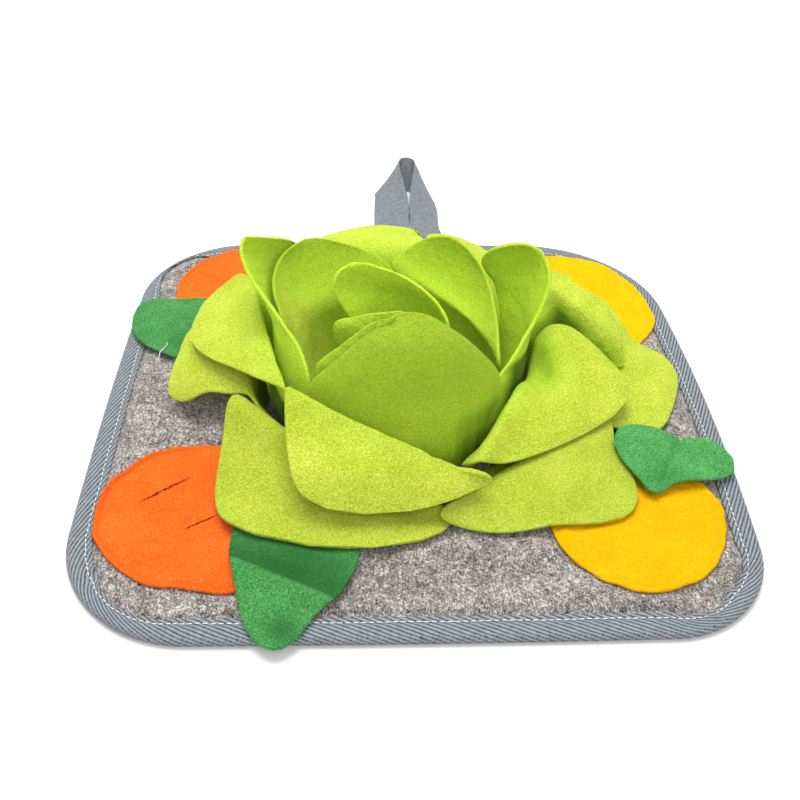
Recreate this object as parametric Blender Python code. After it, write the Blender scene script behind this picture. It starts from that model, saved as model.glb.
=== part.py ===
# Snuffle mat: a square felt mat with a bound edge, a tape hanging loop at the
# back, four flat fleece discs near the corners, three loose fleece leaves and
# a lettuce of fleece petals in the middle.
#
# Frame: metres in the scene, millimetres in the tables below. The origin is
# the middle of the mat's underside, +Z is up, the hanging loop is at +Y.

import math

import bmesh
import bpy
import numpy as np
from mathutils import Vector
from mathutils.bvhtree import BVHTree

for old in list(bpy.data.objects):
    bpy.data.objects.remove(old, do_unlink=True)

MM = 0.001

# ---------------------------------------------------------------- sizes, mm
MAT_HALF = 160.0            # half the side of the square mat
CORNER_RADIUS = (73.0, 62.0, 60.0, 47.5)   # back right, back left, front left, front right
SIDE_BOW = (1.6, 3.4, 1.3, 9.7)            # outward bow: back, left, front, right
CORNER_STEPS = 8
SIDE_STEPS = 4

FELT_TOP = 5.0              # felt thickness in the open field
FELT_RIM_LOW = 1.35         # felt under the tape is squeezed to this band
FELT_RIM_TOP = 3.65
TAPE = 1.0                  # tape thickness
BINDING_WIDTH = 12.0        # leg of the folded 25 mm tape seen on each face
BINDING_TOP = 5.0

FLEECE = 2.0                # petal, leaf and disc thickness
GAP = 0.3                   # air left between neighbouring solids
CLEAR = 3.4                 # distance kept between two mid surfaces
REACH = 15.0                # how far through a neighbour a point is still brought back

GRID_LONG = 19              # working grid of a petal, root to tip
GRID_WIDE = 15
SOLID_STEP = 2              # every second grid line is kept in the solid

COLOURS = {                 # colour, roughness, metallic
    "lime": ((0.60, 0.82, 0.06, 1.0), 0.95, 0.0),
    "green": ((0.05, 0.36, 0.08, 1.0), 0.95, 0.0),
    "orange": ((1.00, 0.20, 0.02, 1.0), 0.95, 0.0),
    "yellow": ((1.00, 0.66, 0.01, 1.0), 0.95, 0.0),
    "felt": ((0.24, 0.21, 0.20, 1.0), 0.98, 0.0),
    "tape": ((0.20, 0.24, 0.28, 1.0), 0.80, 0.0),
}

# Petals. Each row is one section across the sheet, from the sewn root to the
# free end: left edge x y z, right edge x y z (left and right as seen from
# outside the flower), belly = how far the middle swells to the outer side,
# bow = how far the middle runs ahead of the two edges.
PETALS = {
    "cup_front": (
        ( -34,  -50,  6.5,   34,  -50,  6.5,   16,    0),
        ( -42,  -50,   28,   35,  -54,   20,   19,    0),
        ( -50,  -45,   52,   46,  -36,   46,   21,    0),
        ( -38,  -44,   64,   32,  -40,   67,   17,    2),
        ( -25,  -44,   78,   18,  -42,   81,   10,    4),
        ( -14,  -43,   87,    5,  -42,   90,    2,    3),
    ),
    "cup_front_inner": (
        ( -20,  -36,  6.5,   14,  -38,  6.5,    8,    0),
        ( -30,  -36,   32,   18,  -40,   28,    8,    0),
        ( -46,  -38,   57,   24,  -34,   46,   12,    0),
        ( -34,  -38,   68,   20,  -33,   58,    9,    2),
        ( -24,  -37,   77,   14,  -31,   67,    5,    3),
        ( -16,  -36,   83,    2,  -31,   71,    1,    2),
    ),
    "bud_front": (
        ( -20,  -26,  6.5,   10,  -28,  6.5,    8,    0),
        ( -29,  -23,   34,   14,  -28,   34,    9,    0),
        ( -36,  -19,   51,   12,  -26,   54,    8,    0),
        ( -38,  -18,   66,    8,  -24,   66,    6,    2),
        ( -34,  -18,   69,   -3,  -21,   77,    3,    2),
    ),
    "bud_back": (
        (   8,   -4,  6.5,  -12,   -2,  6.5,    8,    0),
        (  14,   -8,   35,  -22,   -4,   35,   14,    0),
        (  21,  -13,   61,  -30,   -6,   59,   18,    0),
        (  15,   -6,   70,  -38,   -4,   77,   15,    2),
        (   8,   -1,   75,  -37,   -1,   85,    9,    3),
        (  -1,    4,   80,  -32,    2,   90,    4,    3),
    ),
    "cup_back_left": (
        (  -8,   32,  6.5,  -48,   -8,  6.5,   12,    0),
        (  -6,   38,   36,  -58,  -12,   36,   16,    0),
        (  -6,   42,   60,  -66,   -2,   62,   18,    0),
        ( -13,   48,   63,  -71,   16,   66,   14,    2),
        ( -24,   54,   66,  -68,   36,   71,    7,    3),
        ( -39,   56,   70,  -58,   50,   74,    1,    2),
    ),
    "cup_left": (
        ( -52,    4,  6.5,  -44,  -40,  6.5,   10,    0),
        ( -64,   10,   36,  -50,  -44,   30,   10,    0),
        ( -67,   32,   54,  -50,  -37,   53,   10,    0),
        ( -66,   46,   56,  -67,  -10,   68,    8,    0),
        ( -63,   52,   62,  -79,    3,   76,    5,    0),
        ( -60,   57,   68,  -85,   14,   85,    2,    1),
        ( -66,   48,   76,  -85,   21,   93,    0,    0),
    ),
    "cup_back_right": (
        (  46,   -4,  6.5,    6,   32,  6.5,    8,    0),
        (  48,  -18,   34,    2,   42,   38,   12,    0),
        (  45,  -28,   50,   -8,   46,   58,   16,    0),
        (  47,    6,   57,   -1,   54,   64,   11,    0),
        (  43,   28,   66,   11,   56,   71,    5,    0),
        (  35,   40,   75,   23,   52,   77,    1,    0),
    ),
    "cup_right": (
        (   6,  -50,  6.5,   50,   18,  6.5,   26,    0),
        (  14,  -52,   26,   54,   26,   34,   27,    0),
        (  47,  -35,   48,   52,   36,   47,   17,    0),
        (  62,   -8,   58,   49,   41,   56,   12,    0),
        (  73,    8,   71,   42,   44,   64,    9,    0),
        (  74,   16,   77,   45,   42,   73,    6,    3),
        (  71,   22,   83,   52,   38,   78,    2,    3),
    ),
    "outer_front": (
        ( -46,  -56,  6.5,   20,  -72,  6.5,    8,    0),
        ( -54,  -57,   38,   26,  -77,   18,    6,    0),
        ( -60,  -60,   62,   34,  -88,   31,    3,    0),
        ( -60,  -72,   47,   37,  -86,   24,   -4,    0),
        ( -57,  -91,   36,   29,  -90,   22,   -3,    0),
        ( -51, -101,   25,   12,  -98,   19,   -1,    4),
    ),
    "outer_right": (
        (  30,  -60,  6.5,   60,   -2,  6.5,    4,    0),
        (  24,  -68,   17,   61,   -2,   28,    5,    0),
        (  27,  -77,   26,   64,    2,   51,    8,    0),
        (  32,  -80,   32,   82,   12,   46,   -3,    0),
        (  41,  -75,   23,   90,   10,   43,   -4,    0),
        (  61,  -66,   21,  101,    5,   37,   -4,    0),
        (  85,  -52,   20,  113,   -8,   30,   -3,    0),
        ( 103,  -41,   21,  119,  -19,   25,    0,    2),
    ),
    "outer_back_right": (
        (  64,    8,  6.5,   54,   44,  6.5,    6,    0),
        (  70,   10,   24,   60,   52,   36,    6,    0),
        (  91,   33,   20,   83,   52,   52,   -2,    0),
        ( 101,   23,   19,   95,   37,   50,   -3,    0),
        ( 112,   11,   18,  109,   27,   45,   -3,    0),
        ( 123,    7,   17,  120,   19,   36,    0,    0),
    ),
    "outer_left": (
        ( -60,   22,  6.5,  -60,  -36,  6.5,    8,    0),
        ( -72,   26,   36,  -64,  -44,   34,    8,    0),
        ( -82,   36,   50,  -60,  -50,   50,    2,    0),
        ( -91,   58,   48,  -70,  -41,   47,   -3,    0),
        (-102,   53,   42,  -88,  -23,   42,   -3,    0),
        (-112,   37,   40, -106,   -7,   38,   -2,    0),
        (-115,   23,   38, -115,    4,   37,    0,    1),
    ),
    "outer_back": (
        (  12,   48,  6.5,  -42,   40,  6.5,    8,    0),
        (  16,   56,   36,  -50,   48,   38,    8,    0),
        (  20,   72,   50,  -56,   64,   52,   -4,    0),
        (   7,  104,   48,  -47,   92,   50,   -4,    0),
        (  14,  126,   32,  -44,  120,   32,   -5,    0),
        (   4,  144,   14,  -32,  140,   14,   -2,    2),
    ),
    "outer_back_centre": (
        (  50,   26,  6.5,   18,   48,  6.5,    6,    0),
        (  56,   36,   32,   20,   58,   34,    6,    0),
        (  60,   54,   44,   18,   78,   45,   -2,    0),
        (  46,   74,   47,   16,  100,   45,   -4,    0),
        (  62,  102,   28,   24,  124,   30,   -4,    0),
        (  54,  120,   12,   32,  136,   13,   -1,    2),
    ),
    "lower_front": (
        ( -70,  -36,  6.5,   14,  -84,  6.5,    8,    0),
        ( -78,  -40,   30,   17,  -90,   11,    6,    0),
        ( -88,  -44,   45,   20,  -95,   11,    6,    0),
        ( -91,  -64,   31,   18, -100,   10,    3,    0),
        ( -94,  -86,   16,   12, -105,    9,   -2,    0),
        ( -89, -104,   10,   -3, -113,    8,    0,    6),
    ),
    "lower_right": (
        (  34,  -66,  6.5,   78,  -20,  6.5,    6,    0),
        (  30,  -83,   12,   90,  -27,   14,    4,    0),
        (  11,  -97,   15,  107,  -32,   18,   -1,    0),
        (  17, -100,    9,  105,  -55,   15,   -4,    0),
        (  41, -105,    7,  110,  -68,   12,   -4,    0),
        (  70, -102,    9,  111,  -83,   10,   -1,    3),
        (  84, -102,    9,  109,  -91,    9,    0,    3),
    ),
    "lower_far_right": (
        (  78,  -26,  6.5,   74,   32,  6.5,    2,    0),
        (  90,  -32,   12,   82,   42,   15,    1,    0),
        ( 106,  -38,   14,  113,   83,   20,    0,    0),
        ( 115,  -38,   12,  128,   66,   20,   -2,    0),
        ( 126,  -37,   10,  134,   33,   16,   -2,    0),
        ( 137,  -32,    8,  150,   28,   12,   -2,    0),
        ( 148,  -12,    8,  156,   15,    9,    0,    2),
    ),
    "lower_left": (
        ( -66,   26,  6.5,  -74,  -38,  6.5,    6,    0),
        ( -76,   30,   28,  -80,  -42,   22,    4,    0),
        ( -88,   34,   34,  -83,  -29,   30,   -2,    0),
        (-102,   34,   34,  -92,  -26,   27,   -3,    0),
        (-114,   31,   31, -105,  -19,   24,   -4,    0),
        (-120,   24,   29, -116,  -17,   15,   -4,    0),
        (-122,   13,   25, -128,  -10,   11,   -3,    1),
    ),
    "lower_back_right": (
        (  66,   34,  6.5,   46,   56,  6.5,    6,    0),
        (  78,   46,   26,   56,   68,   28,    4,    0),
        ( 103,   71,   32,   64,   92,   26,   -3,    0),
        ( 102,   84,   30,   74,  108,   14,   -2,    2),
    ),
    "lower_back_left": (
        ( -46,   44,  6.5,  -66,   20,  6.5,    6,    0),
        ( -58,   62,   28,  -80,   32,   28,    4,    0),
        ( -70,   84,   28,  -98,   44,   32,   -3,    0),
        ( -82,   98,   12, -112,   64,   14,    0,    3),
    ),}

# Order in which the petals are settled, with their layer (small = innermost),
# how much of the width is left at the free end and over which share of the
# length the corners are rounded.
#   name, layer, end_width, round_share, outward roll of the left and right edge
LAYERS = (
    ("cup_front", 5.0, 0.50, 0.06, 3, 0),
    ("bud_back", 1.0, 0.60, 0.10, 0, 2),
    ("bud_front", 2.0, 0.85, 0.06, 0, 0),
    ("cup_back_left", 3.0, 0.60, 0.10, 0, 0),
    ("cup_back_right", 3.5, 0.50, 0.04, 0, 0),
    ("cup_left", 4.0, 0.85, 0.04, 0, 0),
    ("cup_right", 4.2, 0.70, 0.12, 2, 0),
    ("cup_front_inner", 4.1, 0.50, 0.06, 0, 0),
    ("outer_right", 6.0, 0.60, 0.08, 0, 0),
    ("outer_front", 6.5, 0.60, 0.08, 0, 0),
    ("outer_left", 6.2, 0.60, 0.08, 0, 0),
    ("outer_back_right", 7.0, 0.75, 0.08, 0, 11),
    ("outer_back", 6.4, 0.60, 0.10, 0, 0),
    ("outer_back_centre", 6.8, 0.60, 0.10, 0, 0),
    ("lower_right", 8.0, 0.60, 0.08, 0, 0),
    ("lower_front", 9.0, 0.60, 0.08, 0, 0),
    ("lower_far_right", 8.5, 0.60, 0.10, 0, 0),
    ("lower_left", 8.2, 0.75, 0.06, 0, 0),
    ("lower_back_right", 8.3, 0.60, 0.10, 0, 0),
    ("lower_back_left", 8.6, 0.60, 0.10, 0, 0),
)


# Hollows pressed into a folded-out petal: line of x y seen from above, half
# width and depth.
HOLLOWS = {
    "outer_right": ((((65, -13), (67, -18), (69, -22)), 16, 16),),
}


# ------------------------------------------------------------ sheet shaping
def unit(a):
    return a / np.maximum(np.linalg.norm(a, axis=-1, keepdims=True), 1e-9)


def smooth_rows(rows, count):
    """Rows resampled on a smooth curve, a little closer together at the free end."""
    tab = np.asarray(rows, float)
    m = len(tab)
    mid = (tab[:, 0:3] + tab[:, 3:6]) / 2
    step = (np.linalg.norm(np.diff(mid, axis=0), axis=1)
            + np.linalg.norm(np.diff(tab[:, 0:3], axis=0), axis=1)
            + np.linalg.norm(np.diff(tab[:, 3:6], axis=0), axis=1)) / 3
    t = np.concatenate([[0.0], np.cumsum(step)])
    s = 1 - (1 - np.linspace(0, 1, count)) ** 1.35
    slope = np.zeros_like(tab)
    chord = np.diff(tab, axis=0) / step[:, None]
    slope[0], slope[-1] = chord[0], chord[-1]
    for i in range(1, m - 1):
        slope[i] = (chord[i - 1] * step[i] + chord[i] * step[i - 1]) / (step[i] + step[i - 1])
    out = []
    for x in s * t[-1]:
        i = min(max(int(np.searchsorted(t, x, side="right")) - 1, 0), m - 2)
        h = step[i]
        q = (x - t[i]) / h
        out.append((2 * q**3 - 3 * q**2 + 1) * tab[i] + (q**3 - 2 * q**2 + q) * h * slope[i]
                   + (3 * q**2 - 2 * q**3) * tab[i + 1] + (q**3 - q**2) * h * slope[i + 1])
    return np.array(out), s


def relax_along(a, rounds):
    for _ in range(rounds):
        b = a.copy()
        b[1:-1] = a[1:-1] * 0.5 + (a[:-2] + a[2:]) * 0.25
        a = b
    return a


def petal_sheet(rows, end_width, round_share, n_long, n_wide, rolls=(0.0, 0.0)):
    """Mid surface of a petal as an n_long x n_wide grid of points."""
    r, s = smooth_rows(rows, n_long)
    left, right = r[:, 0:3], r[:, 3:6]
    mid, half = (left + right) / 2, (right - left) / 2
    along = unit(relax_along(unit(np.gradient(mid, axis=0)), 10))
    out = unit(relax_along(unit(np.cross(half, along)), 10))
    v = np.linspace(-1, 1, n_wide)
    v = 0.35 * np.sin(v * math.pi / 4) / math.sin(math.pi / 4) + 0.65 * v
    q = np.clip((s - (1 - round_share)) / round_share, 0, 1)
    width = end_width + (1 - end_width) * np.sqrt(1 - q**2)
    grid = np.zeros((n_long, n_wide, 3))
    for j, vv in enumerate(v):
        w = vv * width
        grid[:, j] = (mid + half * w[:, None] + out * (r[:, 6] * (1 - w**2))[:, None]
                      + along * (r[:, 7] * (1 - w**2))[:, None])
        roll = rolls[0] if vv < 0 else rolls[1]
        lift = roll * max(abs(vv) - 0.55, 0.0) / 0.45
        grid[:, j] += out * (lift * np.sin(math.pi * np.minimum(s * 1.25, 0.5)))[:, None]
    return grid


def hollow(grid, line, half_width, depth):
    """The grid pressed down along a line seen from above, with soft sides."""
    p = grid[..., :2]
    best = np.full(p.shape[:2], 1e9)
    for a, b in zip(line[:-1], line[1:]):
        a, b = np.array(a, float), np.array(b, float)
        t = np.clip(((p - a) @ (b - a)) / float((b - a) @ (b - a)), 0, 1)
        best = np.minimum(best, np.linalg.norm(p - a - t[..., None] * (b - a), axis=-1))
    q = np.clip(1 - best / half_width, 0, 1)
    out = grid.copy()
    out[..., 2] -= depth * q * q * (3 - 2 * q) * np.clip((grid[..., 2] - 12) / 16, 0, 1)
    return out


def grid_faces(n_long, n_wide):
    """Quads whose normals point to the outer side of the sheet."""
    f = []
    for i in range(n_long - 1):
        for j in range(n_wide - 1):
            a = i * n_wide + j
            f.append((a, a + 1, a + n_wide + 1, a + n_wide))
    return f


def grid_normals(grid):
    return unit(np.cross(np.gradient(grid, axis=1), np.gradient(grid, axis=0)))


def blur(delta, share):
    """One smoothing pass over a grid of vectors."""
    pad = np.pad(delta, ((1, 1), (1, 1), (0, 0)), mode="edge")
    near = (pad[:-2, 1:-1] + pad[2:, 1:-1] + pad[1:-1, :-2] + pad[1:-1, 2:]) / 4
    return delta * (1 - share) + near * share


def tree_of(points, faces):
    return BVHTree.FromPolygons([Vector(p) for p in points], faces, all_triangles=False)


def keep_off(p, tree, side):
    """The point p moved to the wanted side of one settled sheet, at least CLEAR away."""
    q, n, _, dist = tree.find_nearest(Vector(p), REACH)
    if q is None:
        return p
    q, n = np.array(q), np.array(n) * side
    away = p - q
    height = float(away @ n)
    facing = abs(height) > 0.7 * dist
    if facing and height < CLEAR:
        return q + (away - n * height) + n * CLEAR
    if not facing and dist < CLEAR:
        return q + (away / dist if dist > 1e-6 else n) * CLEAR
    return p


def settle(grid, layer, settled, floor):
    """Push a petal clear of every settled sheet, keeping the change smooth."""
    low = grid.reshape(-1, 3).min(0) - REACH
    high = grid.reshape(-1, 3).max(0) + REACH
    near = [s for s in settled if np.all(s["high"] > low) and np.all(s["low"] < high)]
    delta = np.zeros_like(grid)
    for turn in range(26):
        now = grid + delta
        for i in range(grid.shape[0]):
            for j in range(grid.shape[1]):
                p = now[i, j]
                for s in near:
                    p = keep_off(p, s["tree"], 1.0 if layer > s["layer"] else -1.0)
                p[2] = max(p[2], floor(p[0], p[1]))
                now[i, j] = p
        delta = now - grid
        if turn < 24:
            delta = blur(delta, 0.55 if turn < 18 else 0.25)
    return grid + delta


# ------------------------------------------------------------------- solids
def mat_outline(inset):
    """Outline of the mat, moved inward by inset: a list of x, y."""
    pts = []
    signs = ((1, 1), (-1, 1), (-1, -1), (1, -1))
    for k, ((sx, sy), r) in enumerate(zip(signs, CORNER_RADIUS)):
        c = MAT_HALF - r
        for i in range(CORNER_STEPS + 1):
            a = math.radians(90 * k + 90 * i / CORNER_STEPS)
            pts.append((sx * c + (r - inset) * math.cos(a), sy * c + (r - inset) * math.sin(a)))
        end = pts[-1]
        nx, ny = signs[(k + 1) % 4]
        rn = CORNER_RADIUS[(k + 1) % 4]
        a = math.radians(90 * (k + 1))
        start = (nx * (MAT_HALF - rn) + (rn - inset) * math.cos(a),
                 ny * (MAT_HALF - rn) + (rn - inset) * math.sin(a))
        for i in range(1, SIDE_STEPS):
            t = i / SIDE_STEPS
            pts.append((end[0] + (start[0] - end[0]) * t, end[1] + (start[1] - end[1]) * t))
    back, left, front, right = SIDE_BOW
    out = []
    for x, y in pts:
        ax, ay = 1 - (x / MAT_HALF) ** 2, 1 - (y / MAT_HALF) ** 2
        dx = (right * ay if x > MAT_HALF / 2 else 0) - (left * ay if x < -MAT_HALF / 2 else 0)
        dy = (back * ax if y > MAT_HALF / 2 else 0) - (front * ax if y < -MAT_HALF / 2 else 0)
        out.append((x + dx, y + dy))
    return out


def material(name):
    mat = bpy.data.materials.get(name)
    if mat is None:
        mat = bpy.data.materials.new(name)
        mat.use_nodes = True
        shader = mat.node_tree.nodes["Principled BSDF"]
        colour, rough, metal = COLOURS[name]
        shader.inputs["Base Color"].default_value = colour
        shader.inputs["Roughness"].default_value = rough
        shader.inputs["Metallic"].default_value = metal
        mat.diffuse_color = colour
    return mat


def add_object(name, points, faces, colour, own=True):
    """One closed mesh object from points in millimetres."""
    mesh = bpy.data.meshes.new(name)
    mesh.from_pydata([tuple(float(c) * MM for c in p) for p in points], [], faces)
    bm = bmesh.new()
    bm.from_mesh(mesh)
    bmesh.ops.triangulate(bm, faces=[f for f in bm.faces if len(f.verts) > 3])
    bmesh.ops.recalc_face_normals(bm, faces=bm.faces[:])
    if bm.calc_volume(signed=True) < 0:
        bmesh.ops.reverse_faces(bm, faces=bm.faces[:])
    bm.to_mesh(mesh)
    bm.free()
    ob = bpy.data.objects.new(name, mesh)
    bpy.context.scene.collection.objects.link(ob)
    mat = material(colour).copy()
    mat.name = name + "_" + colour
    mesh.materials.append(mat)
    mesh.shade_smooth()
    mesh.set_sharp_from_angle(angle=math.radians(40))
    return ob


def sheet_solid(grid, thick):
    """Closed solid of a sheet from its mid surface grid."""
    n, m = grid.shape[:2]
    out = grid_normals(grid)
    for _ in range(4):
        out = unit(blur(out, 0.6))
    top = (grid + out * thick / 2).reshape(-1, 3)
    low = (grid - out * thick / 2).reshape(-1, 3)
    k = n * m
    faces = [tuple(f) for f in grid_faces(n, m)]
    faces += [tuple(k + i for i in reversed(f)) for f in grid_faces(n, m)]
    rim = ([j for j in range(m)] + [i * m + m - 1 for i in range(1, n)]
           + [(n - 1) * m + j for j in range(m - 2, -1, -1)] + [i * m for i in range(n - 2, 0, -1)])
    for a, b in zip(rim, rim[1:] + rim[:1]):
        faces.append((b, a, k + a, k + b))
    return np.vstack([top, low]), faces


def ring_solid(section):
    """Closed ring swept round the mat: section is a loop of (inset, z)."""
    pts, faces = [], []
    rings = [mat_outline(i) for i, _ in section]
    n, m = len(rings[0]), len(section)
    for ring, (_, z) in zip(rings, section):
        pts += [(x, y, z) for x, y in ring]
    for a in range(m):
        b = (a + 1) % m
        for i in range(n):
            j = (i + 1) % n
            faces.append((a * n + i, a * n + j, b * n + j, b * n + i))
    return pts, faces


def plate_solid(profile):
    """Closed plate of the mat's outline: profile runs (inset, z) from the middle of
    the underside out to the rim and back to the middle of the top."""
    pts, faces = [], []
    rings = [mat_outline(i) for i, _ in profile]
    n, m = len(rings[0]), len(profile)
    for ring, (_, z) in zip(rings, profile):
        pts += [(x, y, z) for x, y in ring]
    for a in range(m - 1):
        for i in range(n):
            j = (i + 1) % n
            faces.append((a * n + i, a * n + j, (a + 1) * n + j, (a + 1) * n + i))
    faces.append(tuple(range(n)))
    faces.append(tuple((m - 1) * n + i for i in reversed(range(n))))
    return pts, faces


# --------------------------------------------------------------- mat, edge
# felt: inset from the outline, z; squeezed rim inside the tape, full field
FELT_PROFILE = (
    (14.5, 0.0),
    (12.5, FELT_RIM_LOW),
    (TAPE + 0.4, FELT_RIM_LOW),
    (TAPE + 0.4, FELT_RIM_TOP),
    (12.6, FELT_RIM_TOP),
    (14.0, 4.9),
    (18.0, FELT_TOP + 0.3),
    (26.0, FELT_TOP),
)
# tape folded over the rim: outer wall, top leg, bottom leg
BINDING_SECTION = (
    (0.0, 1.0), (0.0, 4.0), (0.8, BINDING_TOP), (BINDING_WIDTH, BINDING_TOP),
    (BINDING_WIDTH, BINDING_TOP - TAPE), (TAPE, BINDING_TOP - TAPE),
    (TAPE, TAPE), (BINDING_WIDTH, TAPE), (BINDING_WIDTH, 0.0), (0.8, 0.0),
)

# hanging loop, a 25 mm tape: lower (outer) edge x y z and upper (inner) edge
# x y z, from the left leg round the standing end to the right leg
LOOP_ROWS = (
    (-14.0, 162.6, 2.6, 10.1, 162.6, 2.6),
    (-14.0, 174.0, 0.9, 10.2, 174.0, 1.2),
    (-14.0, 195.0, 0.8, 10.7, 195.0, 3.6),
    (-13.4, 220.0, 0.8, 10.7, 214.0, 9.6),
    (-12.6, 234.0, 0.8, 8.2, 231.0, 15.2),
    (-10.6, 242.5, 0.8, 5.2, 250.0, 21.0),
    (-6.0, 244.2, 0.8, 5.6, 254.4, 21.7),
    (0.0, 245.5, 0.8, 7.0, 257.0, 22.0),
    (11.5, 246.0, 0.8, 10.5, 258.5, 22.2),
    (22.0, 243.5, 0.8, 14.2, 257.0, 22.0),
    (27.0, 239.0, 0.8, 16.2, 254.4, 21.6),
    (29.5, 232.5, 0.8, 16.6, 250.0, 20.8),
    (31.8, 220.0, 0.8, 14.0, 234.0, 16.0),
    (32.2, 208.0, 0.8, 11.9, 214.0, 9.6),
    (32.0, 192.0, 0.8, 11.7, 195.0, 3.6),
    (34.4, 174.0, 0.9, 11.5, 174.0, 1.2),
    (35.0, 162.6, 2.6, 11.5, 162.6, 2.6),
)

# flat fleece discs: centre, height of the underside, then radius at each
# whole share of a turn (12 of them, from +X towards +Y)
DISCS = (
    ("disc_front_left", "orange", (-101, -89), (46, 47, 48, 47, 50, 52, 51, 49, 47, 46, 54, 48)),
    ("disc_back_left", "orange", (-98, 104), (44, 45, 46, 47, 45, 43, 43, 44, 45, 45, 44, 44)),
    ("disc_front_right", "yellow", (108, -94), (45, 45, 45, 45, 44, 43, 43, 44, 45, 46, 44, 43)),
    ("disc_back_right", "yellow", (112, 88), (46, 46, 51, 55, 56, 52, 48, 46, 48, 52, 54, 51)),
)
DISC_LOW = 5.7
DISC_RINGS = 3
DISC_STEPS = 28

# loose leaves, same columns as the petals
LEAVES = {
    "leaf_front_left": (
        (   -84,    -92,      7,    -26,    -98,      7,      0,      0),
        (   -85,   -110,    7.5,  -25.5, -119.5,      7,      0,      0),
        ( -83.5, -123.5,     12,    -36,   -144,   11.5,      0,      0),
        (   -81,   -133,    8.5,    -41,   -146,      8,      0,      0),
        (   -77, -147.5,      7,  -47.5, -153.5,      7,      0,      0),
        ( -72.5, -159.5,      7,  -52.5,   -162,      7,      0,      1),
        (   -69,   -164,      7,  -55.5,   -165,      7,      0,      2),
    ),
    "leaf_back_left": (
        (  -106,     78,      9,   -112,     32,      9,      0,      0),
        (  -121,   86.5,      9, -121.5,   24.5,      9,      0,      0),
        (  -133,     86,     10, -136.5,   31.5,    9.5,      0,      0),
        (-148.5,   86.5,      9, -149.5,     41,    8.5,      0,      0),
        (-160.5,   85.5,    7.5, -159.5,   52.5,      8,      0,      2),
    ),
    "leaf_front_right": (
        ( 103.5,  -55.5,     20,    108,  -44.5,     19,      0,      0),
        ( 105.5,    -67,     18,    116,  -40.5,     19,      0,      0),
        (   112,    -74,     15,  126.5,    -42,     18,      0,      0),
        ( 117.5,    -86,     12,  135.5,  -44.5,     16,      0,      0),
        (   128,  -78.5,     13,  142.5,    -47,     14,      0,      0),
        ( 138.5,  -76.5,     13,    151,  -45.5,     14,      0,      0),
        (   152,    -74,     11,  159.5,    -49,     13,      0,      0),
        ( 164.5,    -68,      9,    167,  -56.5,     10,      0,      0),
    ),
}
#   name, layer, end_width, round_share
LEAF_LAYERS = (
    ("leaf_front_left", 11.0, 0.55, 0.10),
    ("leaf_back_left", 11.0, 0.60, 0.12),
    ("leaf_front_right", 7.8, 0.75, 0.12),
)


def disc_grid(centre, radii):
    """Rings of points of a flat disc, on a smooth closed curve through the radii."""
    n = len(radii)
    rim = []
    for i in range(DISC_STEPS):
        t = i * n / DISC_STEPS
        k, q = int(t), t - int(t)
        r0, r1, r2, r3 = (radii[(k + d) % n] for d in (-1, 0, 1, 2))
        r = r1 + 0.5 * q * (r2 - r0 + q * (2 * r0 - 5 * r1 + 4 * r2 - r3 + q * (3 * (r1 - r2) + r3 - r0)))
        a = 2 * math.pi * i / DISC_STEPS
        rim.append((centre[0] + r * math.cos(a), centre[1] + r * math.sin(a)))
    return rim


def disc_solid(rim, low, high):
    n = len(rim)
    pts = [(x, y, low) for x, y in rim] + [(x, y, high) for x, y in rim]
    faces = [tuple(reversed(range(n))), tuple(range(n, 2 * n))]
    faces += [(i, (i + 1) % n, n + (i + 1) % n, n + i) for i in range(n)]
    return pts, faces


def build():
    add_object("mat_felt", *plate_solid(FELT_PROFILE), "felt")
    add_object("edge_binding", *ring_solid(BINDING_SECTION), "tape")

    settled = []

    def remember(name, layer, points, faces):
        p = np.asarray(points, float)
        settled.append({"name": name, "layer": layer, "tree": tree_of(points, faces),
                        "low": p.min(0), "high": p.max(0)})

    for name, colour, centre, radii in DISCS:
        rim = disc_grid(centre, radii)
        add_object(name, *disc_solid(rim, DISC_LOW, DISC_LOW + FLEECE), colour)
        z = DISC_LOW + FLEECE / 2
        fan = [(centre[0], centre[1], z)] + [(x, y, z) for x, y in rim]
        n = len(rim)
        remember(name, 12.0, fan, [(0, 1 + (i + 1) % n, 1 + i) for i in range(n)])

    def floor(x, y):
        edge = 3.0 if abs(x) > MAT_HALF - 26 or abs(y) > MAT_HALF - 26 else 0.0
        return FELT_TOP + GAP + FLEECE / 2 + 0.1 + 0.1 * edge

    grids = {}

    def place(name, rows, layer, end_width, round_share, rolls, colour):
        grid = petal_sheet(rows, end_width, round_share, GRID_LONG, GRID_WIDE, rolls)
        for line, half_width, depth in HOLLOWS.get(name, ()):
            grid = hollow(grid, line, half_width, depth)
        grid = settle(grid, layer, settled, floor)
        grids[name] = grid
        remember(name, layer, grid.reshape(-1, 3), grid_faces(GRID_LONG, GRID_WIDE))
        coarse = grid[::SOLID_STEP, ::SOLID_STEP]
        add_object(name, *sheet_solid(coarse, FLEECE), colour)

    for name, layer, end_width, round_share in LEAF_LAYERS[:2]:
        place(name, LEAVES[name], layer, end_width, round_share, (0.0, 0.0), "green")
    for name, layer, end_width, round_share, left, right in LAYERS:
        place(name, PETALS[name], layer, end_width, round_share, (left, right), "lime")
    for name, layer, end_width, round_share in LEAF_LAYERS[2:]:
        place(name, LEAVES[name], layer, end_width, round_share, (0.0, 0.0), "green")

    r = np.array(LOOP_ROWS)
    loop = np.zeros((len(r), 4, 3))
    for j, t in enumerate(np.linspace(0, 1, 4)):
        loop[:, j] = r[:, 0:3] * (1 - t) + r[:, 3:6] * t
    add_object("hang_loop", *sheet_solid(loop, TAPE), "tape")
    return grids


GRIDS = build()
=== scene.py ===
import math

import bpy
import numpy as np
from mathutils import Matrix, Vector
from mathutils.bvhtree import BVHTree


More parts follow.
